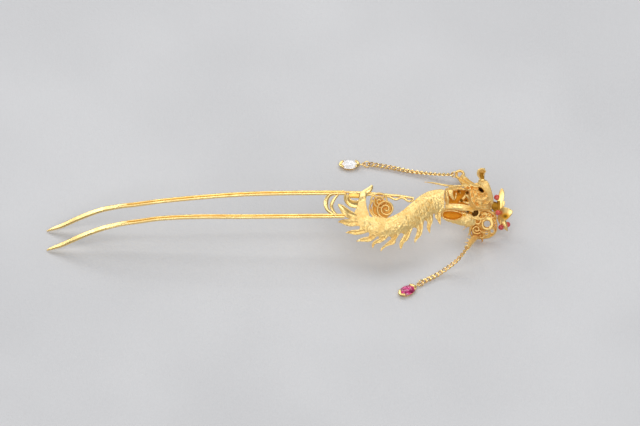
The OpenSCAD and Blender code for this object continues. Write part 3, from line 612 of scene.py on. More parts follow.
# Tail: crescent cup with its back wall, and two leaves that spring from the body's end
tailParts = {
    # one edge along and up the show side, the other edge along and up, out of the show side, bulge
    "longLeaf": [(25.0, 11.6, 27.8, 11.6, 12.2, 0.1), (25.3, 13.0, 27.7, 13.0, 12.0, 0.2),
                 (25.7, 14.5, 27.8, 14.5, 11.5, 0.25),
                 (26.3, 16.0, 28.3, 15.3, 10.7, 0.3), (27.6, 16.9, 29.4, 16.2, 10.3, 0.3),
                 (28.9, 17.7, 29.9, 17.2, 10.0, 0.2), (29.6, 18.3, 29.9, 18.1, 9.8, 0.0)],
    "smallLeaf": [(24.8, 8.9, 23.2, 7.2, 14.2, 0.3), (23.1, 9.8, 21.3, 7.9, 13.9, 0.4),
                  (21.6, 10.8, 20.0, 9.2, 13.4, 0.4), (20.2, 11.8, 19.3, 10.6, 13.1, 0.3),
                  (18.8, 12.2, 18.6, 12.0, 12.9, 0.0)],
    "cup": [(20.9, 15.4, 22.4, 15.2, 9.9, 0.3), (20.7, 13.9, 22.5, 14.2, 10.6, 0.5),
            (21.2, 12.5, 22.9, 13.5, 11.2, 0.7), (22.5, 11.3, 23.9, 13.2, 11.7, 0.7),
            (24.2, 10.9, 24.9, 13.2, 12.0, 0.6), (25.7, 11.4, 25.5, 13.5, 12.0, 0.4),
            (26.5, 12.4, 25.9, 14.2, 11.6, 0.2)],
    # along, up the show side, out of it, width, thickness
    "cupBack": [(22.1, 15.0, 10.0, 1.8, 0.5), (23.6, 14.9, 10.1, 1.8, 0.5), (25.6, 14.7, 10.2, 1.6, 0.5)],
    "cupLip": [(22.2, 15.7, 10.0, 0.7, 0.7), (24.0, 15.9, 10.1, 0.6, 0.6), (26.0, 15.6, 10.3, 0.6, 0.6)],
    # hollow of the cup: along from and to, up from and to; then its mouth out of the show side, and the share
    # of painted shade in it
    "hollowBox": (22.3, 26, 13.2, 15.5),
    "hollow": (11.1, 0.6),
    "sheet": 0.5,
    "weld": (0.1, 5),                    # voxel size of the fused form, and how often it is smoothed
}


def leafSheet(rows, thickness, cells=14, steps=7):
    edges = [(*onShow(a, b, out), *onShow(c, d, out), bulge) for a, b, c, d, out, bulge in rows]
    return domedSheet(domedGrid(edges, cells, steps), thickness)


def tailLeaves():
    forms = [leafSheet(tailParts[name], tailParts["sheet"]) for name in ("longLeaf", "smallLeaf", "cup")]
    forms += [forgedBar(fromShow(tailParts[name])) for name in ("cupBack", "cupLip")]
    leaves = fused(forms, *tailParts["weld"])

    # Painted shade in the cup's hollow, growing below its mouth
    def inCup(along, high, out):
        mouth, share = tailParts["hollow"]
        return share * held((mouth - out) * 2) if inBox(along, high, tailParts["hollowBox"]) else 0

    return finished(hollowed(leaves, inCup), "tailLeaves", "tail_leaves", "polished", 80)


tailLeaves()

# Scroll cloud between rail and body: two spirals and the band that wraps them
cloudParts = {
    # along, up the show side, out of it, first radius, last radius, start angle, turn
    "curls": [(32.1, 13.0, 12.4, 0.3, 2.9, 20, 900), (34.2, 10.5, 12.8, 0.3, 3.1, -170, 810),
              (31.9, 10.8, 12.3, 2.0, 2.9, 160, 130), (32.2, 11.0, 12.2, 3.1, 3.7, 125, 165)],
    "ribbon": (0.68, 0.9),               # width, depth
    "sheet": 0.5,
    "top": 12.4,                         # of the ribbon, out of the show side
    "deepShare": (0.05, 0.42),               # least share of the deep colour, and the painted shade that the grooves add
    "weld": (0.08, 2),
    # back edge x, y, z, front edge x, y, z, bulge
    "plate": [(29.9, 0.6, 16.8, 29.6, -1.6, 14.6, 0.1), (31.2, 1.6, 17.8, 31.2, -2.4, 13.8, 0.2),
              (34.2, 1.2, 17.4, 34.4, -2.6, 13.6, 0.2), (36.2, 0.2, 16.4, 36.3, -1.4, 14.8, 0.1)],
}


def scrollCloud():
    forms = [curl(*row, *cloudParts["ribbon"]) for row in cloudParts["curls"]]
    forms.append(domedSheet(domedGrid(cloudParts["plate"], 24, 12), cloudParts["sheet"]))
    cloud = fused(forms, *cloudParts["weld"])

    # Painted shade deeper down between the ribbons
    def inGroove(along, high, out):
        least, more = cloudParts["deepShare"]
        return least + min(more, max(0, (cloudParts["top"] - out) * 1.1))

    return finished(hollowed(cloud, inGroove), "scrollCloud", "scroll_cloud", "chased", 80)


scrollCloud()

# Body: one embossed sheet, cut out with its nine flame fins
bodyParts = {
    # back edge x, y, z, front edge x, y, z, bulge
    "shell": [
        (21.1, -4.4, 17.1, 21.1, -6.1, 16.2, 0.1), (24.2, -2.6, 15.6, 24.5, -6.9, 13.8, 0.7),
        (27.7, -2.4, 15.4, 27.1, -8.1, 12.6, 1.2), (30.6, -3.6, 15.2, 29.7, -8.9, 11.7, 1.6),
        (33.9, -4.2, 15.0, 33.9, -8.8, 11.2, 1.8), (36.8, -3.2, 15.2, 38.1, -7.8, 11.0, 2.0),
        (39.7, -1.2, 15.6, 41.9, -5.9, 11.3, 2.2), (42.6, 1.7, 16.2, 45.2, -3.8, 11.8, 2.3),
        (45.5, 4.5, 16.7, 48.4, -1.7, 12.0, 2.3), (48.7, 6.4, 16.9, 50.6, -0.2, 11.6, 2.2),
        (52.45, 7.0, 16.8, 52.45, 1.0, 11.6, 2.1)],
    # tail end and collar, along and up the show side
    "tailEnd": [(21.3, 9.0), (20.9, 8.2), (22.0, 7.6)],
    "collar": [(52.9, 10.6), (53.1, 12.6), (52.9, 14.8), (52.8, 16.8)],
    # from root to point: one edge along and up, the other edge along and up, out of the show side
    "fins": [
        [(24.0, 7.45, 25.5, 5.0, 14.8), (22.4, 7.3, 22.8, 4.85, 14.9), (20.7, 7.2, 21.0, 5.3, 15.0),
         (19.4, 6.9, 19.8, 5.9, 15.1), (18.6, 6.4, 18.8, 6.2, 15.3)],
        [(25.5, 4.0, 28.5, 3.0, 15.1), (24.6, 3.85, 26.5, 2.4, 15.2), (23.6, 3.8, 24.4, 2.1, 15.2),
         (22.4, 3.5, 22.7, 2.5, 15.3), (21.0, 3.0, 21.2, 2.7, 15.5)],
        [(28.7, 1.9, 31.5, 1.8, 15.2), (27.8, 1.55, 30.2, 0.6, 15.3), (26.7, 1.3, 28.6, -0.1, 15.3),
         (25.7, 0.9, 26.8, 0.0, 15.4), (24.5, 0.2, 24.7, -0.1, 15.6)],
        [(31.9, 1.1, 35.1, 1.7, 15.0), (31.1, 0.7, 33.9, 0.5, 15.1), (30.3, 0.2, 32.4, -0.4, 15.2),
         (29.7, -0.6, 30.9, -0.7, 15.3), (29.6, -1.5, 30.3, -1.5, 15.4), (29.8, -2.1, 30.1, -2.1, 15.6)],
        [(35.9, 1.2, 38.9, 2.7, 14.2), (35.4, 0.5, 37.6, 0.9, 14.4), (34.5, -0.3, 36.9, -0.8, 14.6),
         (33.4, -1.3, 34.7, -1.4, 14.8), (32.6, -2.2, 33.5, -2.2, 14.9), (32.2, -3.1, 32.7, -3.3, 15.1)],
        [(39.9, 2.3, 43.0, 4.5, 13.1), (39.5, 1.5, 42.1, 2.4, 13.3), (38.9, 0.6, 41.3, 0.6, 13.5),
         (38.5, -0.5, 40.0, -0.5, 13.7), (38.5, -1.5, 39.5, -1.6, 13.9), (38.8, -2.5, 39.1, -2.6, 14.1)],
        [(44.1, 4.1, 46.5, 6.7, 12.0), (44.1, 3.2, 46.1, 4.1, 12.2), (43.7, 1.8, 45.6, 2.1, 12.4),
         (43.3, 0.8, 44.5, 0.9, 12.7), (43.2, -0.4, 43.7, -0.5, 12.9)],
        [(47.4, 6.4, 49.4, 8.9, 10.6), (47.4, 5.6, 49.3, 6.6, 10.8), (47.3, 4.7, 48.7, 5.0, 11.0),
         (47.6, 3.7, 48.5, 3.8, 11.2), (48.2, 2.6, 48.5, 2.7, 11.4)],
        [(49.9, 8.9, 52.2, 9.4, 9.2), (50.1, 7.7, 52.0, 7.9, 9.4), (50.8, 6.7, 51.9, 6.7, 9.6),
         (51.6, 5.3, 51.9, 5.3, 9.9)]],
    # the long leaf's foot: left edge along and up, right edge along and up, out of the show side
    "foot": [(23.2, 8.2, 29.2, 8.0, 13.6), (24.1, 9.7, 28.5, 9.6, 13.3), (24.8, 11.3, 28.0, 11.2, 12.8),
             (25.3, 12.9, 27.7, 12.9, 12.2), (25.9, 14.3, 27.5, 14.3, 11.7)],
    "finBulge": 0.22,
    "crest": 0.42,                       # where the back is highest, as a share of the way from edge to edge
    "skirt": 0.5,                        # share of the bulge that is left where the fins start
    "sheet": 0.55,
    "length": 44,                        # of the sheet that the scales are laid out on
    "width": 7.5,
    "scaleLength": 1.5,
    "scaleWidth": 1.7,
    "scaleRelief": 0.24,
    "rimRelief": 0.16,
    "hammering": 0.12,
    "blows": [(1.1, 0.7), (0.5, 0.8), (0.28, 0.4)],    # size and height of the hammer's marks
    "footReach": (23.6, 28.8),           # where the foot takes over from the body's upper edge
    "finGroove": (0.3, 0.3),             # width and depth of the line down the middle of a fin
    "finShade": (0.45, 0.5),             # width and share of the painted shade along it
    "deepShare": (0.02, 0.5),                # least share of the deep colour, and the painted shade that a low place adds
    "blend": 0.55,                       # reach within which neighbouring forms run into each other
    "weld": (0.12, 6),
}


# Height of the topmost scale at a place along and across the body
def scaleHeight(along, across):
    long, wide = bodyParts["scaleLength"], bodyParts["scaleWidth"]
    row = floor(along / long)
    for r in (row - 1, row, row + 1):
        shift = 0.5 * (r % 2)
        cell = round(across / wide - shift)
        u = (across / wide - shift - cell) * 2       # across and along one scale, each from -1 to 1
        v = (along / long - r - 0.5) / 1.15
        reach = u * u + v * v
        if reach < 1 and v < 0.62:
            return 0.35 + 0.65 * (0.5 - v / 2) - 0.35 * reach ** 3
    return 0


def crown(t):
    crest = bodyParts["crest"]
    if t < crest:
        return 1 - (1 - t / crest) ** 2.2
    return 1 - (1 - bodyParts["skirt"]) * ((t - crest) / (1 - crest)) ** 2


# Spots of the body: along, up, out of the show side, share of the length, share of the width, 1 on the back
def bodySpots():
    run = smoothRun(bodyParts["shell"], 4)
    footStart, footEnd = bodyParts["footReach"]
    spots = []
    for i, row in enumerate(run):
        back, front = Vector(row[:3]), Vector(row[3:6])
        for j in range(13):
            place = back.lerp(front, j / 12)
            if j < 3 and footStart < place.x < footEnd:
                continue
            spots.append((place.x, place.dot(rise), place.dot(showSide) + row[6] * crown(j / 12),
                          i / (len(run) - 1), j / 12, 1))
    for fin in bodyParts["fins"]:
        for a, b, c, d, out in smoothRun(fin, 3):
            for j in range(5):
                t = j / 4
                raised = out + bodyParts["finBulge"] * sin(pi * t)
                spots.append((a + (c - a) * t, b + (d - b) * t, raised, 0, 1, 0))
    for a, b, c, d, out in smoothRun(bodyParts["foot"], 4):
        spots += [(a + (c - a) * j / 6, b + (d - b) * j / 6, out, 0, 0.5, 0) for j in range(7)]
    return spots


def bodyOutline():
    points = []
    for fin in bodyParts["fins"]:
        tip = fin[-1]
        points += [row[:2] for row in fin[:-1]]
        points.append(((tip[0] + tip[2]) / 2, (tip[1] + tip[3]) / 2))
        points += [row[2:4] for row in reversed(fin[:-1])]
    points += bodyParts["collar"]
    edge = [(row[0], (row[1] + row[2]) * rise.y) for row in bodyParts["shell"]]
    points += reversed(edge[3:-1])
    points += [row[2:4] for row in bodyParts["foot"]]
    points += [row[:2] for row in reversed(bodyParts["foot"])]
    points += bodyParts["tailEnd"]
    return closedRun(points, 6)


def bodyShell():
    valuesAt = field(bodySpots(), bodyParts["blend"])

    # the scales rise from the middle of the body towards the head, and fade at its edges
    def reliefAt(along, high, s, t, back):
        fade = held((s - 0.4) * 2.5) * held((t - 0.07) * 9) * max(0, back * 1.6 - 0.6)
        raised = scaleHeight(s * bodyParts["length"], t * bodyParts["width"]) - 0.45
        rough = sum(grained(along, high, size, height) for size, height in bodyParts["blows"])
        return bodyParts["scaleRelief"] * raised * fade + rough * bodyParts["hammering"]

    def depthAt(along, high):
        out, s, t, back = valuesAt(along, high)
        rim = bodyParts["rimRelief"] * exp(-((t - 0.03) / 0.035) ** 2) * back
        groove = max(ridge(along, high, line, *bodyParts["finGroove"]) for line in finLines)
        return out + rim - groove + reliefAt(along, high, s, t, back)

    # Painted shade in the low places of the relief and along the middle line of each fin, stronger towards
    # the head
    def shadeInLows(along, high, out):
        _, s, t, back = valuesAt(along, high)
        least, more = bodyParts["deepShare"]
        groove = max(ridge(along, high, line, *bodyParts["finShade"]) for line in finLines)
        low = held(-reliefAt(along, high, s, t, back) * 9)
        return least + more * max(low, groove) * min(1, 0.4 + max(0, s - 0.3) * 2)

    finLines = [[((a + c) / 2, (b + d) / 2) for a, b, c, d, _ in fin[:-1]] for fin in bodyParts["fins"]]
    shell = raisedSheet(bodyOutline(), bodyParts["sheet"], *bodyParts["weld"], depthAt)
    return finished(hollowed(shell, shadeInLows), "bodyShell", "body_shell", "chased", 80)


bodyShell()

# Head: cast skull with its ridges, open mouth, horn, tongue, fangs and whiskers
headParts = {
    # back edge x, y, z, front edge x, y, z, bulge
    "skull": [(59.9, 8.7, 16.1, 60.1, 7.4, 14.6, 0.3), (61.0, 8.8, 16.4, 60.9, 4.5, 11.5, 1.1),
              (62.5, 9.0, 16.7, 62.4, 3.6, 10.6, 1.7), (64.5, 9.6, 16.8, 64.5, 3.4, 10.0, 2.1),
              (66.5, 10.3, 16.2, 66.5, 3.8, 9.9, 2.0), (67.7, 9.4, 14.8, 67.7, 4.5, 10.1, 1.4),
              (68.3, 8.2, 13.0, 68.4, 5.9, 10.9, 0.6)],
    # along, up the show side
    "outline": [(59.5, 17.0), (59.5, 17.8), (60.6, 18.3), (62.0, 18.6), (63.6, 19.0), (65.2, 19.3),
                (66.8, 19.0), (67.8, 17.6), (68.5, 15.6), (68.8, 13.4), (68.7, 11.4), (67.9, 10.2),
                (66.2, 10.0), (64.3, 10.1), (62.6, 10.4), (61.4, 11.4), (60.8, 12.9), (60.7, 14.6),
                (60.8, 16.0), (60.2, 16.5)],
    "skullSheet": 0.7,
    # width, height, then the line along and up the show side
    "ridges": [
        (0.35, 0.5, [(59.8, 17.3), (60.4, 17.9), (61.2, 17.7), (61.5, 17.0), (61.0, 16.6), (60.4, 16.9)]),
        (0.38, 0.4, [(61.4, 16.3), (61.4, 14.9), (61.7, 13.4), (62.4, 12.2), (63.6, 11.1), (65.6, 10.6),
                     (67.2, 10.6)]),
        (0.45, 0.45, [(61.9, 18.0), (63.2, 17.7), (64.2, 17.9), (65.3, 18.2)]),
        (0.3, 0.3, [(62.3, 17.2), (63.3, 16.6), (63.7, 15.6), (63.4, 14.8)]),
        (0.3, 0.28, [(62.2, 16.2), (62.7, 15.2), (62.6, 14.1), (63.2, 13.0), (64.4, 12.2)]),
        (0.24, 0.4, [(64.1, 15.8), (64.9, 15.4), (65.8, 15.7), (66.3, 16.4)]),
        (0.3, 0.35, [(63.9, 16.9), (64.4, 17.5), (65.3, 17.5), (66.1, 16.9)]),
        (0.22, 0.3, [(64.6, 14.9), (65.3, 14.7), (65.7, 15.0)]),
        (0.35, 0.25, [(63.6, 13.8), (64.9, 13.3), (66.2, 13.6), (67.2, 14.6)]),
        (0.3, 0.25, [(64.2, 12.3), (65.6, 11.9), (67.0, 12.3), (67.9, 13.2)]),
    ],
    # along, up the show side, radius, depth
    "dimples": [(65.1, 16.5, 1.1, 0.35), (60.3, 16.0, 0.4, 0.5), (62.9, 16.0, 0.4, 0.3),
                (62.2, 14.6, 0.3, 0.2), (64.1, 14.5, 0.5, 0.2), (66.3, 14.9, 0.5, 0.2),
                (66.0, 12.7, 0.45, 0.2), (63.4, 12.0, 0.4, 0.25), (61.9, 17.3, 0.3, 0.3)],
    "ridgeRise": 1.9,
    "grain": 0.22,                       # uneven surface between the ridges
    "casting": 0.07,                     # roughness of the cast surface
    "blend": 0.6,
    "skullWeld": (0.12, 4),
    "weld": (0.1, 2),
    "throat": [(53.2, 7.6, 15.6, 53.5, 4.9, 11.9, -1.5), (55.5, 8.1, 15.5, 55.8, 5.2, 11.5, -1.7),
               (58.1, 8.6, 15.3, 58.1, 4.9, 11.2, -1.8), (60.8, 8.8, 15.6, 60.8, 4.6, 11.2, -1.6)],
    # along, up the show side, out of it, width, thickness
    "hornBase": [(64.9, 20.4, 5.3, 1.1, 0.8), (65.2, 19.2, 5.7, 3.0, 1.0), (66.0, 18.0, 6.5, 3.3, 0.9),
                 (67.2, 16.2, 6.3, 2.2, 0.9), (68.0, 14.2, 5.5, 1.6, 0.8), (68.4, 12.2, 4.8, 1.0, 0.7)],
    "collarRim": [(53.9, 16.7, 6.4, 0.7, 0.7), (53.8, 15.2, 7.0, 1.0, 0.8), (54.1, 13.6, 7.0, 1.0, 0.8),
                  (53.9, 12.1, 6.4, 1.0, 0.8)],
    "lip": [(53.3, 16.9, 6.9, 0.5, 0.5), (55.5, 17.3, 6.2, 0.9, 0.6), (58.0, 17.1, 5.7, 0.9, 0.6),
            (60.0, 16.9, 5.6, 0.8, 0.6)],
    "lowerLip": [(53.4, 12.0, 6.0, 0.8, 0.7), (56.4, 11.9, 5.5, 0.8, 0.7), (59.4, 11.7, 5.4, 0.8, 0.7),
                 (61.8, 11.2, 5.5, 0.7, 0.6), (63.4, 10.6, 5.4, 0.5, 0.5)],
    "lipFold": [(54.6, 10.9, 5.9, 0.6, 0.5), (57.6, 10.8, 5.6, 0.7, 0.6), (60.4, 10.3, 5.5, 0.7, 0.6),
                (62.4, 9.6, 5.5, 0.5, 0.5)],
    "tongue": [(54.9, 16.9, 5.9, 2.0, 0.5), (55.1, 15.4, 5.9, 1.6, 0.5), (55.7, 14.1, 5.6, 0.9, 0.45),
               (56.2, 13.3, 5.3, 0.3, 0.3)],
    "tongueEdge": [(56.2, 13.4, 5.2, 0.3, 0.3), (56.7, 14.4, 5.2, 0.45, 0.3), (56.8, 15.8, 5.1, 0.5, 0.3)],
    "palate": [(57.7, 12.6, 4.5, 0.7, 0.5), (58.9, 13.7, 4.7, 0.9, 0.5), (59.9, 15.0, 4.8, 0.9, 0.5),
               (60.2, 16.4, 4.9, 0.6, 0.5)],
    "upperFang": [(59.8, 15.2, 5.5, 0.35, 0.3), (60.4, 14.7, 5.8, 0.7, 0.45), (60.9, 13.9, 5.9, 0.7, 0.45),
                  (61.0, 13.0, 5.7, 0.25, 0.25)],
    "lowerFang": [(58.9, 12.9, 5.3, 0.3, 0.25), (59.8, 12.6, 5.6, 0.65, 0.4), (60.8, 12.4, 5.7, 0.75, 0.45),
                  (61.4, 12.2, 5.5, 0.5, 0.4)],
    "smallFang": [(57.6, 16.6, 5.3, 0.5, 0.4), (58.1, 15.9, 5.4, 0.4, 0.3), (58.3, 15.3, 5.3, 0.15, 0.15)],
    # x, y, z, width, thickness
    "longWhisker": [(46.5, 9.6, 17.6, 0.2, 0.2), (48.7, 8.9, 18.0, 0.45, 0.35), (50.8, 8.2, 18.2, 0.6, 0.45),
                    (53.4, 7.6, 18.1, 0.65, 0.45), (56.2, 8.1, 17.2, 0.7, 0.45), (58.6, 8.8, 16.3, 0.6, 0.4)],
    "shortWhisker": [(54.4, 6.9, 17.9, 0.3, 0.3), (57.0, 7.7, 17.7, 0.6, 0.45), (59.6, 8.3, 17.2, 0.8, 0.5),
                     (61.9, 8.8, 16.6, 0.7, 0.4)],
    # left edge along and up the show side, right edge along and up, out of the show side, bulge
    "hornCup": [(64.7, 19.6, 65.9, 19.6, 6.2, 0.3), (64.5, 20.4, 65.9, 20.5, 6.3, 0.0),
                (64.1, 21.5, 65.9, 21.7, 6.6, -0.5), (64.2, 22.6, 66.2, 22.8, 6.9, -0.6),
                (64.8, 23.6, 66.0, 23.6, 7.2, -0.3)],
    "hornRim": [(64.9, 19.7, 6.3, 0.5, 0.5), (64.4, 20.6, 6.6, 0.6, 0.6), (63.8, 21.7, 6.9, 0.7, 0.6),
                (64.0, 22.8, 7.2, 0.7, 0.6), (64.9, 23.5, 7.4, 0.6, 0.5), (65.9, 23.3, 7.3, 0.5, 0.4),
                (66.3, 22.4, 7.0, 0.4, 0.4)],
    # upper edge along and up the show side, lower edge along and up, out of the show side, bulge
    "lipSheet": [(53.2, 12.1, 53.2, 10.6, 6.0, 0.2), (56.4, 12.0, 56.4, 10.3, 5.5, 0.3),
                 (59.6, 11.8, 59.4, 9.9, 5.3, 0.3), (62.0, 11.4, 61.8, 10.0, 5.3, 0.2),
                 (64.0, 10.8, 63.8, 10.2, 5.2, 0.1)],
    # wall of the throat, painted dark as the shade that shows through the gap under the skull
    "innerWall": [(60.2, 11.2, 60.2, 8.4, 3.8, 0.0), (62.2, 11.2, 62.2, 8.0, 3.9, 0.0),
                  (64.6, 11.0, 64.6, 8.2, 4.0, 0.0)],
    # along, up the show side, radius along, radius up, share: soft painted shade round the eye and on the
    # lip, and three more darker patches on the skull
    "deepPatches": [(65.1, 16.3, 1.8, 1.3, 0.4), (61.6, 10.7, 1.3, 0.7, 0.6), (62.6, 17.2, 0.7, 0.5, 0.4),
               (63.2, 12.2, 0.9, 0.6, 0.3), (66.8, 12.6, 0.9, 0.7, 0.3)],
    # boxes that hold painted shade: along from and to, up from and to
    "mouth": (53.4, 61.3, 11.5, 17.1),
    "gap": (60, 65, 7.8, 11.3),
    "gapBar": (61.0, 61.9),              # lighter stretch across the gap
    "hornHollow": (64.5, 66.1, 20.1, 22.3),
    "wallDepth": 4.4,                    # points of the gap's wall lie under this, out of the show side
    "cupDepth": 6.55,                    # points of the horn's hollow lie under this
    "spotDepth": 5.6,
    # hollow mark of the painted shadow in the dark spots, on the gap's wall, on the bar across it and in the
    # horn's hollow, and of the open metal
    "marks": (1.7, 1.85, 1.0, 1.5, 0.06),
    "cupSheet": 0.4,
    # along, up the show side, long radius, short radius, degrees turned, depth
    "eye": (64.9, 16.7, 1.2, 0.72, -42, 1.2),
    # dark spots of painted shadow in the mouth: along, up the show side, radius
    "darkSpots": [(57.7, 16.2, 0.45), (58.5, 13.3, 0.5), (60.3, 15.8, 0.5), (60.1, 13.3, 0.35)],
    "sheet": 0.5,
}


# How far into the eye socket a place is, from 0 at its edge to 1 in its middle
def inEye(along, high):
    a, b, long, short, turn, _ = headParts["eye"]
    turn = radians(turn)
    u = (along - a) * cos(turn) + (high - b) * sin(turn)
    v = (high - b) * cos(turn) - (along - a) * sin(turn)
    return max(0, 1 - (u / long) ** 2 - (v / short) ** 2)


def skullDepth():
    run = smoothRun(headParts["skull"], 4)
    spots = []
    for row in run:
        back, front = Vector(row[:3]), Vector(row[3:6])
        for j in range(17):
            place = back.lerp(front, j / 16)
            spots.append((place.x, place.dot(rise), place.dot(showSide) + row[6] * sin(pi * j / 16) ** 0.7))
    valuesAt = field(spots, headParts["blend"])

    def depthAt(along, high):
        out = valuesAt(along, high)[0]
        raised = [ridge(along, high, line, width, height) for width, height, line in headParts["ridges"]]
        out += max(raised) * headParts["ridgeRise"]
        for a, b, radius, depth in headParts["dimples"]:
            out -= depth * exp(-((along - a) ** 2 + (high - b) ** 2) / radius ** 2)
        out -= headParts["eye"][5] * min(1, inEye(along, high) * 2.5)
        return out + headParts["grain"] * (grained(along, high, 0.8, 1) + grained(along, high, 0.35, 0.6))

    return depthAt


def headShell():
    outline = closedRun(headParts["outline"], 5)
    skull = raisedSheet(outline, headParts["skullSheet"], *headParts["skullWeld"], skullDepth())
    forms = [skull, domedSheet(domedGrid(headParts["throat"], 30, 12), headParts["sheet"]),
             leafSheet(headParts["hornCup"], headParts["cupSheet"])]
    forms += [leafSheet(headParts[name], headParts["sheet"]) for name in ("lipSheet", "innerWall")]
    forms += [forgedBar(fromShow(headParts[name]))
              for name in ("hornBase", "hornRim", "collarRim", "lip", "lowerLip", "lipFold", "tongue",
                           "tongueEdge", "palate", "upperFang", "lowerFang", "smallFang")]
    forms += [forgedBar(headParts[name]) for name in ("longWhisker", "shortWhisker")]
    head = roughened(fused(forms, *headParts["weld"]), 0.45, headParts["casting"])
    spotMark, gapMark, barMark, hornMark, openMark = headParts["marks"]

    # Painted shade: shadow in the dark spots, the eye socket and on the gap's wall, shade in the mouth and
    # the horn's hollow, and soft patches on the skull
    def inMouth(along, high, out):
        for a, b, radius in headParts["darkSpots"]:
            if (along - a) ** 2 + (high - b) ** 2 < radius ** 2 and out < headParts["spotDepth"]:
                return spotMark
        if inEye(along, high) > 0:
            return min(2, inEye(along, high) * 3.5)
        if inBox(along, high, headParts["mouth"]):
            return held((5.0 - out) * 1.6)
        if inBox(along, high, headParts["gap"]) and out < headParts["wallDepth"]:
            return barMark if headParts["gapBar"][0] < along < headParts["gapBar"][1] else gapMark
        if inBox(along, high, headParts["hornHollow"]) and out < headParts["cupDepth"]:
            return hornMark
        return openMark + max(share * exp(-((along - a) / wide) ** 2 - ((high - b) / tall) ** 2)
                          for a, b, wide, tall, share in headParts["deepPatches"])

    return finished(hollowed(head, inMouth), "headShell", "head_shell", "chased", 80)


headShell()

# Lower jaw: a trumpet-shaped cup with a turned rim
jawParts = {
    # x, y, z, height across the show side, depth into it
    "outside": [(52.1, 3.6, 9.5, 2.2, 0.8), (53.4, 3.5, 9.3, 4.3, 2.2), (55.5, 3.3, 9.0, 5.1, 2.9),
                (57.6, 2.8, 8.6, 5.0, 3.1), (59.8, 2.1, 8.1, 4.7, 2.9), (61.8, 1.6, 7.5, 3.7, 2.2),
                (63.2, 1.4, 7.2, 2.0, 1.2)],
    "hollow": [(52.6, 2.3, 9.9, 1.6, 2.2), (53.8, 2.2, 9.9, 2.7, 3.0), (55.6, 2.2, 9.7, 3.0, 3.2),
               (57.3, 2.3, 9.6, 2.5, 2.8), (58.7, 2.6, 9.4, 0.9, 1.6)],
    "rimWire": 0.42,
    "rimOut": 5.75,                      # where the rim lies where the cup gives it no seat
    "hollowFloor": 5.35,                 # a seat deeper than this lies in the hollow
    "rimTop": 5.9,
    "dents": 0.16,
    "casting": 0.09,
    "weld": (0.1, 3),
}


def lowerJaw():
    jaw = cutBy(forgedBar(jawParts["outside"], sides=32), forgedBar(jawParts["hollow"], sides=28))
    edge = [(row[0], (row[1] + row[2]) * rise.y, row[3] / 2) for row in jawParts["hollow"]]
    route = [(a, h + r) for a, h, r in edge] + [(a, h - r) for a, h, r in reversed(edge)]
    rows = []
    for along, high in closedRun(route, 4) + route[:1]:
        hit, place, _, _ = jaw.ray_cast(onShow(along, high, 40), -showSide)
        seat = place.dot(showSide) if hit else 0
        out = seat if seat > jawParts["hollowFloor"] else jawParts["rimOut"]
        rows.append((along, high, out, jawParts["rimWire"], jawParts["rimWire"]))
    whole = fused([jaw, forgedBar(fromShow(rows), showSide, 10, 1)], *jawParts["weld"])
    whole = roughened(roughened(whole, 0.9, jawParts["dents"]), 0.4, jawParts["casting"])

    # Painted shade inside the cup's hollow, up to its rim
    def inHollow(along, high, out):
        inside = max((1 - ((high - h) / r) ** 2) if abs(along - a) < 1.2 else 0 for a, h, r in edge)
        return held(inside * 2.5) * held((jawParts["rimTop"] - out) * 2.5)

    return finished(hollowed(whole, inHollow), "lowerJaw", "lower_jaw", "chased", 80)


lowerJaw()

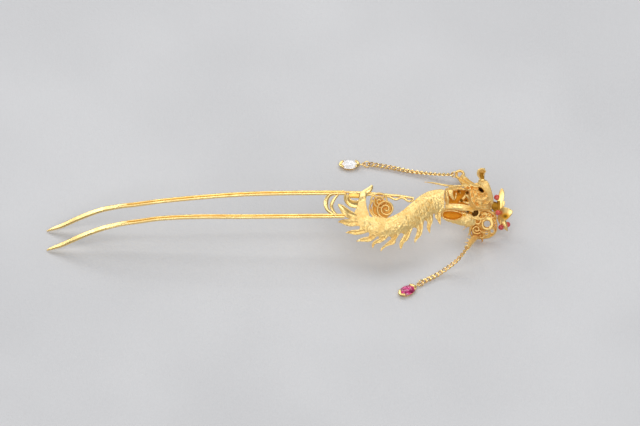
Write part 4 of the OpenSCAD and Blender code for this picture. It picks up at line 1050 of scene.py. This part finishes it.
# Face scrolls: pierced plate with the swirl ring, curls, rim wire and thorns
faceParts = {
    # right edge x, y, z, left edge x, y, z, bulge
    "plate": [(68.2, 5.25, 9.35, 63.0, 4.95, 9.55, 0.2), (69.1, 2.9, 7.0, 62.3, 2.3, 7.2, 0.6),
              (69.3, 1.6, 4.0, 61.9, 1.5, 4.0, 0.7), (67.6, 1.0, 1.2, 62.3, 0.8, 1.2, 0.4)],
    # along, up the show side, radius
    "holes": [(66.8, 5.7, 1.05), (66.6, 2.8, 0.55), (68.4, 3.4, 0.55)],
    # along, up the show side, out of it, first radius, last radius, start angle, turn, width
    "curls": [(66.8, 5.7, 3.9, 1.35, 1.9, -60, 520, 0.8), (63.6, 6.7, 4.4, 0.3, 1.5, 0, 500, 0.6),
              (63.4, 3.9, 3.5, 0.3, 1.5, 180, 500, 0.6), (64.9, 1.9, 2.2, 0.25, 1.2, 90, 420, 0.5),
              (66.2, 8.6, 4.0, 0.4, 1.3, -40, 330, 0.5), (68.6, 8.3, 3.7, 0.3, 0.8, 120, 330, 0.4)],
    # along, up the show side, out of it, first radius, last radius, start angle, turn, width
    "arcs": [(66.6, 5.6, 3.9, 2.5, 2.6, 40, 150, 0.5), (66.3, 5.4, 3.4, 2.6, 2.5, 200, 110, 0.45),
             (65.6, 9.7, 4.1, 1.3, 1.4, 20, 130, 0.4)],
    # along, up the show side, out of it, radius
    "rings": [(66.6, 2.8, 2.1, 0.75), (68.4, 3.4, 2.3, 0.75), (69.3, 6.2, 2.9, 0.45)],
    # holes painted black as shadow: along, up the show side, radius
    "darkHoles": [(63.1, 9.1, 0.85), (61.7, 9.9, 0.3)],
    "darkMark": 1.9,
    # along, up the show side, out of it, width, thickness of the ridges under the skull
    "ridges": [[(60.9, 8.9, 4.9, 1.0, 0.9), (62.3, 7.7, 4.6, 1.1, 0.9), (64.3, 7.3, 4.4, 1.0, 0.9),
                (66.4, 7.7, 4.2, 0.7, 0.8)],
               [(64.0, 10.6, 4.6, 0.7, 0.7), (64.3, 9.3, 4.5, 0.8, 0.7), (63.7, 8.2, 4.5, 0.8, 0.7)],
               [(64.6, 9.9, 4.4, 0.6, 0.6), (66.0, 10.2, 4.3, 0.8, 0.7), (67.6, 9.8, 4.0, 0.9, 0.7),
                (69.2, 8.6, 3.6, 0.8, 0.7), (69.9, 7.2, 3.2, 0.6, 0.6)],
               [(64.8, 8.9, 4.3, 0.5, 0.6), (66.2, 8.8, 4.2, 0.7, 0.6), (67.4, 9.1, 4.0, 0.5, 0.6)],
               [(62.0, 6.4, 4.4, 0.6, 0.7), (61.6, 4.4, 3.5, 0.7, 0.7), (61.3, 2.6, 2.4, 0.7, 0.7),
                (62.2, 1.3, 1.4, 0.7, 0.7)]],
    "deep": 0.9,
    # least share of the deep colour, and the painted shade that the plate between the curls adds
    "deepShare": (0.15, 0.35),
    "sheet": 0.5,
    "blend": 0.8,
    "weld": (0.085, 2),
    "wire": 0.55,
    "ringWire": 0.4,
    "rim": [(67.2, 5.4, 9.9), (68.4, 4.1, 8.8), (69.4, 3.1, 7.4), (69.9, 1.9, 5.2), (69.4, 0.9, 3.2),
            (67.6, 0.6, 1.5), (64.6, 0.6, 0.9), (62.6, 0.6, 0.8)],
    "innerRim": [(61.8, 2.9, 7.4), (61.5, 1.7, 5.4), (61.2, 1.2, 3.4), (61.7, 0.9, 1.4), (63.1, 0.8, 0.6)],
    "thorns": [[(62.5, 1.8, 5.8), (60.5, 0.8, 6.2), (59.0, -0.6, 5.8)],
               [(61.9, 1.1, 4.2), (61.0, 0.3, 3.6), (60.6, -0.7, 3.0)],
               [(65.2, 0.5, 0.6), (65.3, -0.2, 0.5), (65.0, -0.9, 0.6)]],
    "thornWire": (0.6, 0.15),
    # along, up the show side, out of it, radius of the small grains between the curls
    "grains": [(65.2, 5.2, 3.6, 0.35), (65.0, 6.9, 4.0, 0.3), (64.8, 8.6, 3.9, 0.35), (68.0, 1.8, 1.0, 0.3),
               (63.0, 2.3, 1.9, 0.35), (69.1, 4.9, 2.9, 0.3), (62.4, 5.7, 3.7, 0.3)],
}


def faceScrolls():
    plate = domedSheet(domedGrid(faceParts["plate"], 32, 12), faceParts["sheet"])
    for along, high, radius in faceParts["holes"]:
        clearSelection()
        bpy.ops.mesh.primitive_cylinder_add(vertices=28, radius=radius, depth=20,
                                            location=onShow(along, high, 0), rotation=(radians(45), 0, 0))
        cutBy(plate, bpy.context.object)
    forms = [plate]
    wire, ringWire = faceParts["wire"], faceParts["ringWire"]
    forms += [forgedBar(plainRows(faceParts[name], wire, wire)) for name in ("rim", "innerRim")]
    forms += [forgedBar(fromShow(rows)) for rows in faceParts["ridges"]]
    forms += [curl(*row, faceParts["deep"]) for row in faceParts["curls"] + faceParts["arcs"]]
    forms += [wireRing(onShow(*row[:3]), showSide, row[3], ringWire) for row in faceParts["rings"]]
    forms += [forgedBar(plainRows(rows, *faceParts["thornWire"])) for rows in faceParts["thorns"]]
    for along, high, out, radius in faceParts["grains"]:
        clearSelection()
        place = onShow(along, high, out)
        bpy.ops.mesh.primitive_ico_sphere_add(subdivisions=2, radius=radius, location=place)
        bpy.ops.object.transform_apply(location=True, rotation=True, scale=True)
        forms.append(bpy.context.object)
    scrolls = fused(forms, *faceParts["weld"])
    floorSpots = []
    for row in domedGrid(faceParts["plate"], 8, 3):
        floorSpots += [(place.x, place.dot(rise), place.dot(showSide)) for place in row]
    floorAt = field(floorSpots, faceParts["blend"], 8)

    # Painted shadow in the dark holes, and painted shade on the plate low between the curls
    def onPlate(along, high, out):
        for a, b, radius in faceParts["darkHoles"]:
            if (along - a) ** 2 + (high - b) ** 2 < radius ** 2:
                return faceParts["darkMark"]
        least, more = faceParts["deepShare"]
        return least + more * held(1.2 - (out - floorAt(along, high)[0]) * 2.6)

    return finished(hollowed(scrolls, onPlate), "faceScrolls", "face_scrolls", "chased", 80)


faceScrolls()

# Star flower and its four beads
flowerParts = {
    "middle": (70.9, 4.6, 9.2),
    "cup": (0.8, 1.7, 3.3, 0.45),        # radius at the head, radius at the petals, length, set back by
    # angle, reach, lean forwards, width, 1 where the width runs along X or 0 where it runs up the show side
    "petals": [(232, 6.4, 2.5, 2.4, 1), (305, 6.0, 2.2, 2.4, 1), (4, 4.6, 1.5, 2.0, 1)],
    # one edge along and up the show side, the other edge along and up, out of the show side, bulge
    "openPetals": [
        [(70.3, 10.3, 71.7, 10.1, 4.1, 0.0), (70.3, 12.4, 71.8, 12.2, 4.2, 0.1),
         (70.4, 14.4, 72.3, 14.3, 4.1, 0.14), (70.8, 16.0, 72.3, 15.9, 3.9, 0.1),
         (71.3, 17.1, 71.9, 17.1, 3.7, 0.0)],
        [(70.9, 10.5, 70.9, 8.6, 4.9, 0.0), (72.0, 11.1, 71.8, 6.5, 5.4, 0.2),
         (73.3, 10.9, 73.1, 7.0, 5.8, 0.25), (74.4, 10.4, 74.3, 8.2, 6.1, 0.15),
         (75.1, 9.8, 75.0, 9.4, 6.2, 0.0)]],
    "petalSheet": 0.45,
    # painted shade in the side petal's fold: along, up the show side, radius, hollow mark
    "fold": (72.7, 8.2, 1.15, 1.6),
    "petalTop": 7.2,                     # the open petals lie under this, out of the show side
    "neckBox": (60, 71, 9.7, 13.2),      # along from and to, up from and to
    "neckTop": 4.7,
    "neckShade": 1.55,
    "deepShare": 0.16,
    # along, up the show side, out of it, width, thickness
    "neck": [(68.4, 11.7, 4.0, 2.8, 1.2), (69.7, 11.4, 3.8, 2.7, 1.2), (70.9, 10.8, 3.6, 2.2, 1.2)],
    # share of the reach, share of the lean, share of the width, thickness
    "petalShape": [(0.08, 0, 0.55, 0.5), (0.4, 0.2, 1, 0.45), (0.75, 0.65, 0.75, 0.4), (1, 1, 0.12, 0.25)],
    "stem": 0.4,
    "beads": [(69.9, 6.9, 13.3), (70.3, 2.2, 11.0), (71.3, 0.6, 5.9), (73.4, 3.6, 4.2)],
    "bead": 1.8,
    "drilled": 0.22,                     # radius and depth of the dimple in a bead
    "uneven": 0.012,                     # share by which a bead is out of round
    "weld": (0.09, 3),
}


def petal(angle, reach, lean, width, level):
    middle = Vector(flowerParts["middle"])
    out = Vector((0, cos(radians(angle)), sin(radians(angle))))
    face = (right if level else rise).cross(out * reach + right * lean)
    rows = [(*(middle + out * reach * r + right * lean * n), width * w, t)
            for r, n, w, t in flowerParts["petalShape"]]
    return forgedBar(rows, face, 18, 10, dish=0.1)


def starFlower():
    middle = Vector(flowerParts["middle"])
    small, large, length, back = flowerParts["cup"]
    forms = [petal(*row) for row in flowerParts["petals"]]
    forms += [leafSheet(rows, flowerParts["petalSheet"]) for rows in flowerParts["openPetals"]]
    clearSelection()
    bpy.ops.mesh.primitive_cone_add(vertices=32, radius1=small, radius2=large, depth=length,
                                    location=middle - right * back, rotation=(0, radians(90), 0))
    forms.append(bpy.context.object)
    bpy.ops.object.transform_apply(location=True, rotation=True, scale=True)
    forms.append(forgedBar(fromShow(flowerParts["neck"])))
    for place in flowerParts["beads"]:
        bead = Vector(place)
        tip = bead - (bead - middle).normalized() * (flowerParts["bead"] / 2 - 0.05)
        forms.append(forgedBar(plainRows([middle, middle.lerp(tip, 0.5), tip], flowerParts["stem"],
                                         flowerParts["stem"]), showSide, 10, 4))
    flower = fused(forms, *flowerParts["weld"])

    # Painted shade: the neck in shadow behind the petals, and the side petal's fold
    def inPetal(along, high, out):
        if inBox(along, high, flowerParts["neckBox"]) and out < flowerParts["neckTop"]:
            return flowerParts["neckShade"]
        a, b, radius, share = flowerParts["fold"]
        dark = share * exp(-((along - a) ** 2 + ((high - b) * 1.3) ** 2) / radius ** 2)
        return flowerParts["deepShare"] + (dark if out < flowerParts["petalTop"] else 0)

    return finished(hollowed(flower, inPetal), "starFlower", "star_flower", "polished", 80)


def beadOn(index):
    middle, place = Vector(flowerParts["middle"]), Vector(flowerParts["beads"][index])
    way = (place - middle).normalized()
    clearSelection()
    bpy.ops.mesh.primitive_uv_sphere_add(segments=32, ring_count=18, radius=flowerParts["bead"] / 2)
    bead = bpy.context.object
    hole, uneven = flowerParts["drilled"], flowerParts["uneven"]
    for vertex in bead.data.vertices:                # a drilled dimple at the far pole
        dip = exp(-((vertex.co.xy.length) / hole) ** 2) if vertex.co.z > 0 else 0
        vertex.co.z -= hole * dip
        vertex.co *= 1 + uneven * noise.noise(vertex.co * 1.7 + Vector((index * 5, 0, 0)))
    bead.data.transform(Matrix.Translation(place) @ way.to_track_quat("Z", "Y").to_matrix().to_4x4())
    return finished(bead, "bead%d" % (index + 1), "bead_%d" % (index + 1), "bead", 60)


starFlower()
for index in range(4):
    beadOn(index)

# Bars that carry the chains
rodParts = {
    # x, y, z, width, thickness
    "backBar": [(66.1, 10.0, 15.5, 1.2, 1.2), (64.8, 14.0, 10.2, 1.5, 1.5), (61.3, 20.6, 6.0, 1.6, 1.6),
                (59.6, 24.4, 4.4, 1.5, 1.4), (58.6, 26.6, 3.4, 1.1, 0.9)],
    "backStrap": [(62.6, 16.4, 8.2, 1.5, 0.8), (60.3, 19.6, 5.9, 1.6, 0.8), (58.7, 23.2, 4.1, 1.5, 0.8),
                  (57.7, 26.2, 2.9, 0.9, 0.6)],
    "backTwist": 0.4,                    # depth of the file cuts across the bar and the strap
    "cutTurns": (3, 5),                  # how fast the cuts follow each other, along and up the show side
    "cutShade": (0.25, 0.5, 0.1),        # hollow mark of the cut part, the painted shade that a cut adds, and the mark of the plain end
    "cutEnd": 20.5,                      # up the show side
    "backWeld": (0.09, 2),
    "frontWeld": (0.08, 3),
    "frontBar": [(63.6, 0.1, 2.5, 1.5, 1.3), (62.5, -3.4, 4.7, 2.1, 1.6), (61.4, -8.2, 7.4, 1.8, 1.4),
                 (61.0, -11.4, 8.9, 0.8, 0.8), (60.95, -12.45, 9.3, 0.6, 0.6)],
    "thorns": [[(62.2, -4.7, 5.4), (61.0, -5.2, 6.2), (60.1, -5.0, 6.5)],
               [(61.5, -7.6, 7.0), (60.3, -8.2, 7.7), (59.5, -8.3, 7.9)]],
    "thornWire": (0.65, 0.15),
    # place, radius, wire, degrees tipped up about X
    "backEye": ((58.0, 27.7, 2.9), 1.25, 0.92, 25),
    "frontEye": ((60.4, -12.4, 9.8), 0.75, 0.45, 90),
    "jointRing": (1.0, 0.36, 80),
    "ringInEye": 0.6,
}


def tippedRing(place, radius, wire, turn):
    return wireRing(Vector(place), Vector((0, -sin(radians(turn)), cos(radians(turn)))), radius, wire)


# From 1 on the metal left standing to -1 in a cut
def fileCut(along, high):
    return sin(high * rodParts["cutTurns"][1] + along * rodParts["cutTurns"][0])


def backRod():
    bars = [forgedBar(rodParts[name], steps=24) for name in ("backBar", "backStrap")]
    for bar in bars:
        for vertex in bar.data.vertices:
            standing = max(0, fileCut(vertex.co.x, vertex.co.dot(rise))) ** 3
            vertex.co += showSide * rodParts["backTwist"] * standing
    rod = fused(bars + [tippedRing(*rodParts["backEye"])], *rodParts["backWeld"])

    def inCuts(along, high, out):
        least, more, plain = rodParts["cutShade"]
        return least + more * max(0, -fileCut(along, high)) if high < rodParts["cutEnd"] else plain

    return finished(hollowed(rod, inCuts), "backRod", "back_rod", "chased", 80)


def frontRod():
    forms = [forgedBar(rodParts["frontBar"], up), tippedRing(*rodParts["frontEye"])]
    forms += [forgedBar(plainRows(rows, *rodParts["thornWire"])) for rows in rodParts["thorns"]]
    return finished(fused(forms, *rodParts["frontWeld"]), "frontRod", "front_rod", "chased", 80)


backRod()
frontRod()

# Drops: marquise stones in collets with claws and bail
dropParts = {
    "height": 1.12,                      # of the girdle over the table that the hairpin lies on
    "clear": (22.4, 34.1, 2),            # x, y, degrees that it points away from X
    "ruby": (41.1, -23.3, 38),
    "stone": (5.7, 4.1, 1.8),            # length, width, keel to table
    "blunt": 0.85,                       # how far the pointed outline is drawn towards an ellipse
    # collet from its foot over the rim to its foot: share of the stone's length and width, added, height
    "collet": [(0.7, 0.6, 0.26, -1.12), (0.97, 0.98, 0.03, -0.3), (0.98, 0.97, 0.03, -0.16),
               (0.93, 0.91, 0.03, -0.14), (0.9, 0.88, 0.03, -0.3), (0.7, 0.6, 0.0, -1.12)],
    "crown": 0.36,                       # share of the stone's height that lies over the girdle
    # share of the length, of the width, and of the height over or under the girdle
    "crownSteps": [(0.8, 0.78, 0.6), (0.58, 0.55, 0.4)],
    "keelSteps": [(0.8, 0.72, 0.45), (0.4, 0.05, 0.55)],
    # half of the cap that grips an end: along from the stone's point, across, height, width, thickness
    "claw": [(-1.0, -1.36, 0.22, 0.3, 0.3), (-0.74, -1.2, 0.28, 0.85, 0.7), (-0.42, -0.88, 0.2, 0.95, 0.62),
             (-0.1, -0.42, 0.06, 1.15, 0.6), (-0.02, 0, 0.0, 1.2, 0.6)],
    # along from the stone's point, across, height, width, thickness
    "bail": [(0.4, 0, -0.3, 0.5, 0.5), (1.0, 0, -0.2, 0.4, 0.36), (1.45, 0, -0.15, 0.36, 0.34)],
    "bailRing": (0.6, 0.34, -0.15),      # radius, wire, height over the girdle
    "bailReach": 4.65,                   # middle of the bail ring, from the middle of the stone
    "jumpRing": (0.95, 0.36, 60, 1.0),   # radius, wire, degrees tipped up, height
}


# Point of a marquise outline, a share of the way round it
def marquise(a, b, share):
    r = (a * a + b * b) / (2 * b)
    reach = asin(a / r)
    half = 2 * share % 2
    t = -reach + 2 * reach * (half % 1)
    side = 1 if half < 1 else -1
    x, y = side * r * sin(t), side * (r * cos(t) - r + b)
    oval = side * b * sqrt(max(0, 1 - (x / a) ** 2))
    return x, y + (oval - y) * dropParts["blunt"]


def atDrop(thing, drop):
    x, y, turn = dropParts[drop]
    place = Matrix.Translation((x, y, dropParts["height"]))
    thing.data.transform(place @ Matrix.Rotation(radians(turn), 4, "Z"))
    return thing


def setting(drop):
    a, b = dropParts["stone"][0] / 2, dropParts["stone"][1] / 2
    rings = [(a * x + more, b * y + more, z) for x, y, more, z in dropParts["collet"]]

    def spot(turn, side):
        ring = rings[side]
        return Vector((*marquise(ring[0], ring[1], turn / 32), ring[2]))

    back = Vector((0, 1, 0))
    forms = [shapedHoop(32, len(rings), spot)]
    for end in (-1, 1):
        half = [(end * (a + x), y, z, w, t) for x, y, z, w, t in dropParts["claw"]]
        other = [(x, -y, z, w, t) for x, y, z, w, t in half[-2::-1]]
        forms.append(forgedBar(half + other, up, 12, 4))
    forms.append(forgedBar([(a + x, y, z, w, t) for x, y, z, w, t in dropParts["bail"]], back, 12, 5))
    radius, wire, high = dropParts["bailRing"]
    forms.append(wireRing(Vector((dropParts["bailReach"], 0, high)), up, radius, wire))
    return finished(atDrop(joined(*forms), drop), drop + "Setting", drop + "_setting", "polished")


# Cut stone: a girdle, extruded and drawn in to the crown and table, and below to the pavilion and keel
def cutStone(drop):
    length, width, tall = dropParts["stone"]
    crown, pavilion = dropParts["crown"] * tall, (dropParts["crown"] - 1) * tall
    clearSelection()
    bpy.ops.mesh.primitive_cylinder_add(vertices=16, radius=1, depth=0.1, end_fill_type="NGON")
    stone = bpy.context.object
    for vertex in stone.data.vertices:
        share = atan2(vertex.co.y, vertex.co.x) / (2 * pi)
        vertex.co = Vector((*marquise(length / 2, width / 2, (share + 0.5) % 1), vertex.co.z * 0.6))
    sides = ((1, crown, dropParts["crownSteps"]), (-1, pavilion, dropParts["keelSteps"]))
    for sign, tallness, levels in sides:
        bpy.ops.object.mode_set(mode="EDIT")
        bpy.ops.mesh.select_mode(type="FACE")
        bpy.ops.mesh.select_all(action="DESELECT")
        mesh = bmesh.from_edit_mesh(stone.data)
        for face in mesh.faces:
            face.select_set(face.normal.z * sign > 0.9 and len(face.verts) == 16)
        bmesh.update_edit_mesh(stone.data)
        before = (1, 1)
        for x, y, share in levels:
            bpy.ops.mesh.extrude_region_move(TRANSFORM_OT_translate={"value": (0, 0, tallness * share)})
            bpy.ops.transform.resize(value=(x / before[0], y / before[1], 1))
            before = (x, y)
        bpy.ops.object.mode_set(mode="OBJECT")
    return finished(atDrop(stone, drop), drop + "Stone", drop + "_stone", drop, 1)


def jumpRing(drop, name, node):
    radius, wire, turn, high = dropParts["jumpRing"]
    ring = tippedRing((dropParts["bailReach"] + radius, 0, high - dropParts["height"]), radius, wire, turn)
    return finished(atDrop(ring, drop), name, node, "wire")


for drop in ("clear", "ruby"):
    setting(drop)
    cutStone(drop)
jumpRing("clear", "backJumpRing", "back_jump_ring")
jumpRing("ruby", "frontJumpRing", "front_jump_ring")

# Curb chains: one link is shaped from a ring, and copied along the run
chainParts = {
    "pitch": 1.52,
    "link": (2.12, 1.36, 0.39, 0.3),     # length and width along the wire's middle, wire, twist
    "reach": 0.4,                        # a link points from this far behind its middle to this far ahead
    "ringInLink": 0.3,                   # from a ring's wire to the middle of the link that it holds
    # x, y, z, lean of the link's width from level
    "back": [(52.0, 28.5, 2.2, 38), (48.4, 29.4, 1.6, 34), (41.9, 31.0, 1.1, 24), (35.5, 32.9, 0.98, 8)],
    "front": [(59.9, -12.5, 8.8, 20), (58.3, -12.9, 6.3, 20), (56.8, -13.5, 4.6, 18), (54.9, -14.2, 3.1, 15),
              (52.8, -15.1, 1.9, 12), (50.3, -16.6, 1.15, 5)],
    "lastHeight": 0.95,                  # of the link at the jump ring
    "backEye": (57.8, 27.7, 2.9),        # the ring at the end of the back bar that the joint ring hangs in
    "backEyeRadius": 1.2,
    "firstLean": 40,                     # of the link next to that ring
}


def lastPlace(drop):
    x, y, turn = dropParts[drop]
    far = dropParts["bailReach"] + 2 * dropParts["jumpRing"][0] + chainParts["ringInLink"]
    return (x + far * cos(radians(turn)), y + far * sin(radians(turn)), chainParts["lastHeight"], 0)


def curbLink():
    length, width, wire, twist = chainParts["link"]
    around, sides = 22, 8

    def middle(turn):
        t = 2 * pi * turn / around
        return Vector((length / 2 * cos(t), width / 2 * sin(t), twist * sin(2 * t)))

    def spot(turn, side):
        here = middle(turn)
        ahead = (middle(turn + 1) - middle(turn - 1)).normalized()
        level = ahead.cross(here).normalized()
        flat = level.cross(ahead)
        s = 2 * pi * side / sides
        return here + flat * cos(s) * wire / 2 + level * sin(s) * wire / 2

    return shapedHoop(around, sides, spot)


def chain(rows, name, node, extra=()):
    run = smoothRun(rows, 6)
    lengths = [0]
    for a, b in zip(run, run[1:]):
        lengths.append(lengths[-1] + (Vector(b[:3]) - Vector(a[:3])).length)

    def rowAt(s):
        i = max([k for k in range(len(run) - 1) if lengths[k] <= s] or [0])
        t = (s - lengths[i]) / (lengths[i + 1] - lengths[i])
        return [p + (q - p) * t for p, q in zip(run[i], run[i + 1])]

    gaps = round(lengths[-1] / chainParts["pitch"])
    pattern = curbLink()
    links = list(extra)
    for k in range(gaps + 1):
        s = lengths[-1] * k / gaps
        here = rowAt(s)
        ahead, behind = rowAt(s + chainParts["reach"]), rowAt(s - chainParts["reach"])
        along = (Vector(ahead[:3]) - Vector(behind[:3])).normalized()
        level = up.cross(along).normalized()
        lean = radians(here[3])
        across = level * cos(lean) + along.cross(level) * sin(lean)
        turned = Matrix((along, across, along.cross(across))).transposed().to_4x4()
        pick(pattern)
        bpy.ops.object.duplicate()
        link = bpy.context.object
        link.data.transform(Matrix.Translation(here[:3]) @ turned)
        links.append(link)
    bpy.data.objects.remove(pattern)
    return finished(joined(*links), name, node, "wire")


def chains():
    eye, eyeRadius = Vector(chainParts["backEye"]), chainParts["backEyeRadius"]
    radius, wire, turn = rodParts["jointRing"]
    middle = eye - right * (eyeRadius + radius - rodParts["ringInEye"])
    first = (middle.x - radius - chainParts["ringInLink"], eye.y, eye.z, chainParts["firstLean"])
    chain([first, *chainParts["back"], lastPlace("clear")], "backChain", "back_chain",
          [tippedRing(middle, radius, wire, turn)])
    chain([*chainParts["front"], lastPlace("ruby")], "frontChain", "front_chain")


chains()

# Floor, light and camera
studio = {
    "floor": 1.6,
    "world": (0.5, 0.51, 0.53, 1),
    "worldStrength": 0.45,
    # name: place, aim, size, power
    "lamps": {
        "overhead": ((0.0, 0.4, 0.9), (0.0, 0.0, 0.0), (1.1, 0.7), 4.6),
        "front": ((0.15, -0.75, 0.95), (0.0, 0.0, 0.0), (1.3, 0.8), 7.6),
        "left": ((-0.62, 0.7, 0.5), (0.0, 0.0, 0.0), (0.5, 0.4), 2.0),
    },
    "aim": (0.0129, 0.00785, 0.0),
    "elevation": 45,
    "distance": 0.8,
    "viewWidth": 0.20645,
}


def studioSet():
    clearSelection()
    bpy.ops.mesh.primitive_plane_add(size=studio["floor"])
    floor = bpy.context.object
    floor.name = "paperFloor"
    floor.data.materials.append(paperFinish("palePaper"))
    for name, (place, aim, size, power) in studio["lamps"].items():
        bpy.ops.object.light_add(type="AREA", location=place)
        lamp = bpy.context.object
        lamp.name = name
        lamp.rotation_euler = (Vector(aim) - Vector(place)).to_track_quat("-Z", "Y").to_euler()
        lamp.data.shape = "RECTANGLE"
        lamp.data.size, lamp.data.size_y = size
        lamp.data.energy = power
    world = bpy.data.worlds.new("studio")
    world.use_nodes = True
    world.node_tree.nodes["Background"].inputs["Color"].default_value = studio["world"]
    world.node_tree.nodes["Background"].inputs["Strength"].default_value = studio["worldStrength"]
    bpy.context.scene.world = world
    tilt = radians(studio["elevation"])
    away = Vector((0, -cos(tilt), sin(tilt))) * studio["distance"]
    bpy.ops.object.camera_add(location=Vector(studio["aim"]) + away, rotation=(pi / 2 - tilt, 0, 0))
    camera = bpy.context.object
    camera.data.type = "ORTHO"
    camera.data.ortho_scale = studio["viewWidth"]
    camera.data.clip_end = 10
    bpy.context.scene.camera = camera
    bpy.context.scene.view_settings.view_transform = "Standard"


studioSet()
print("studio set")
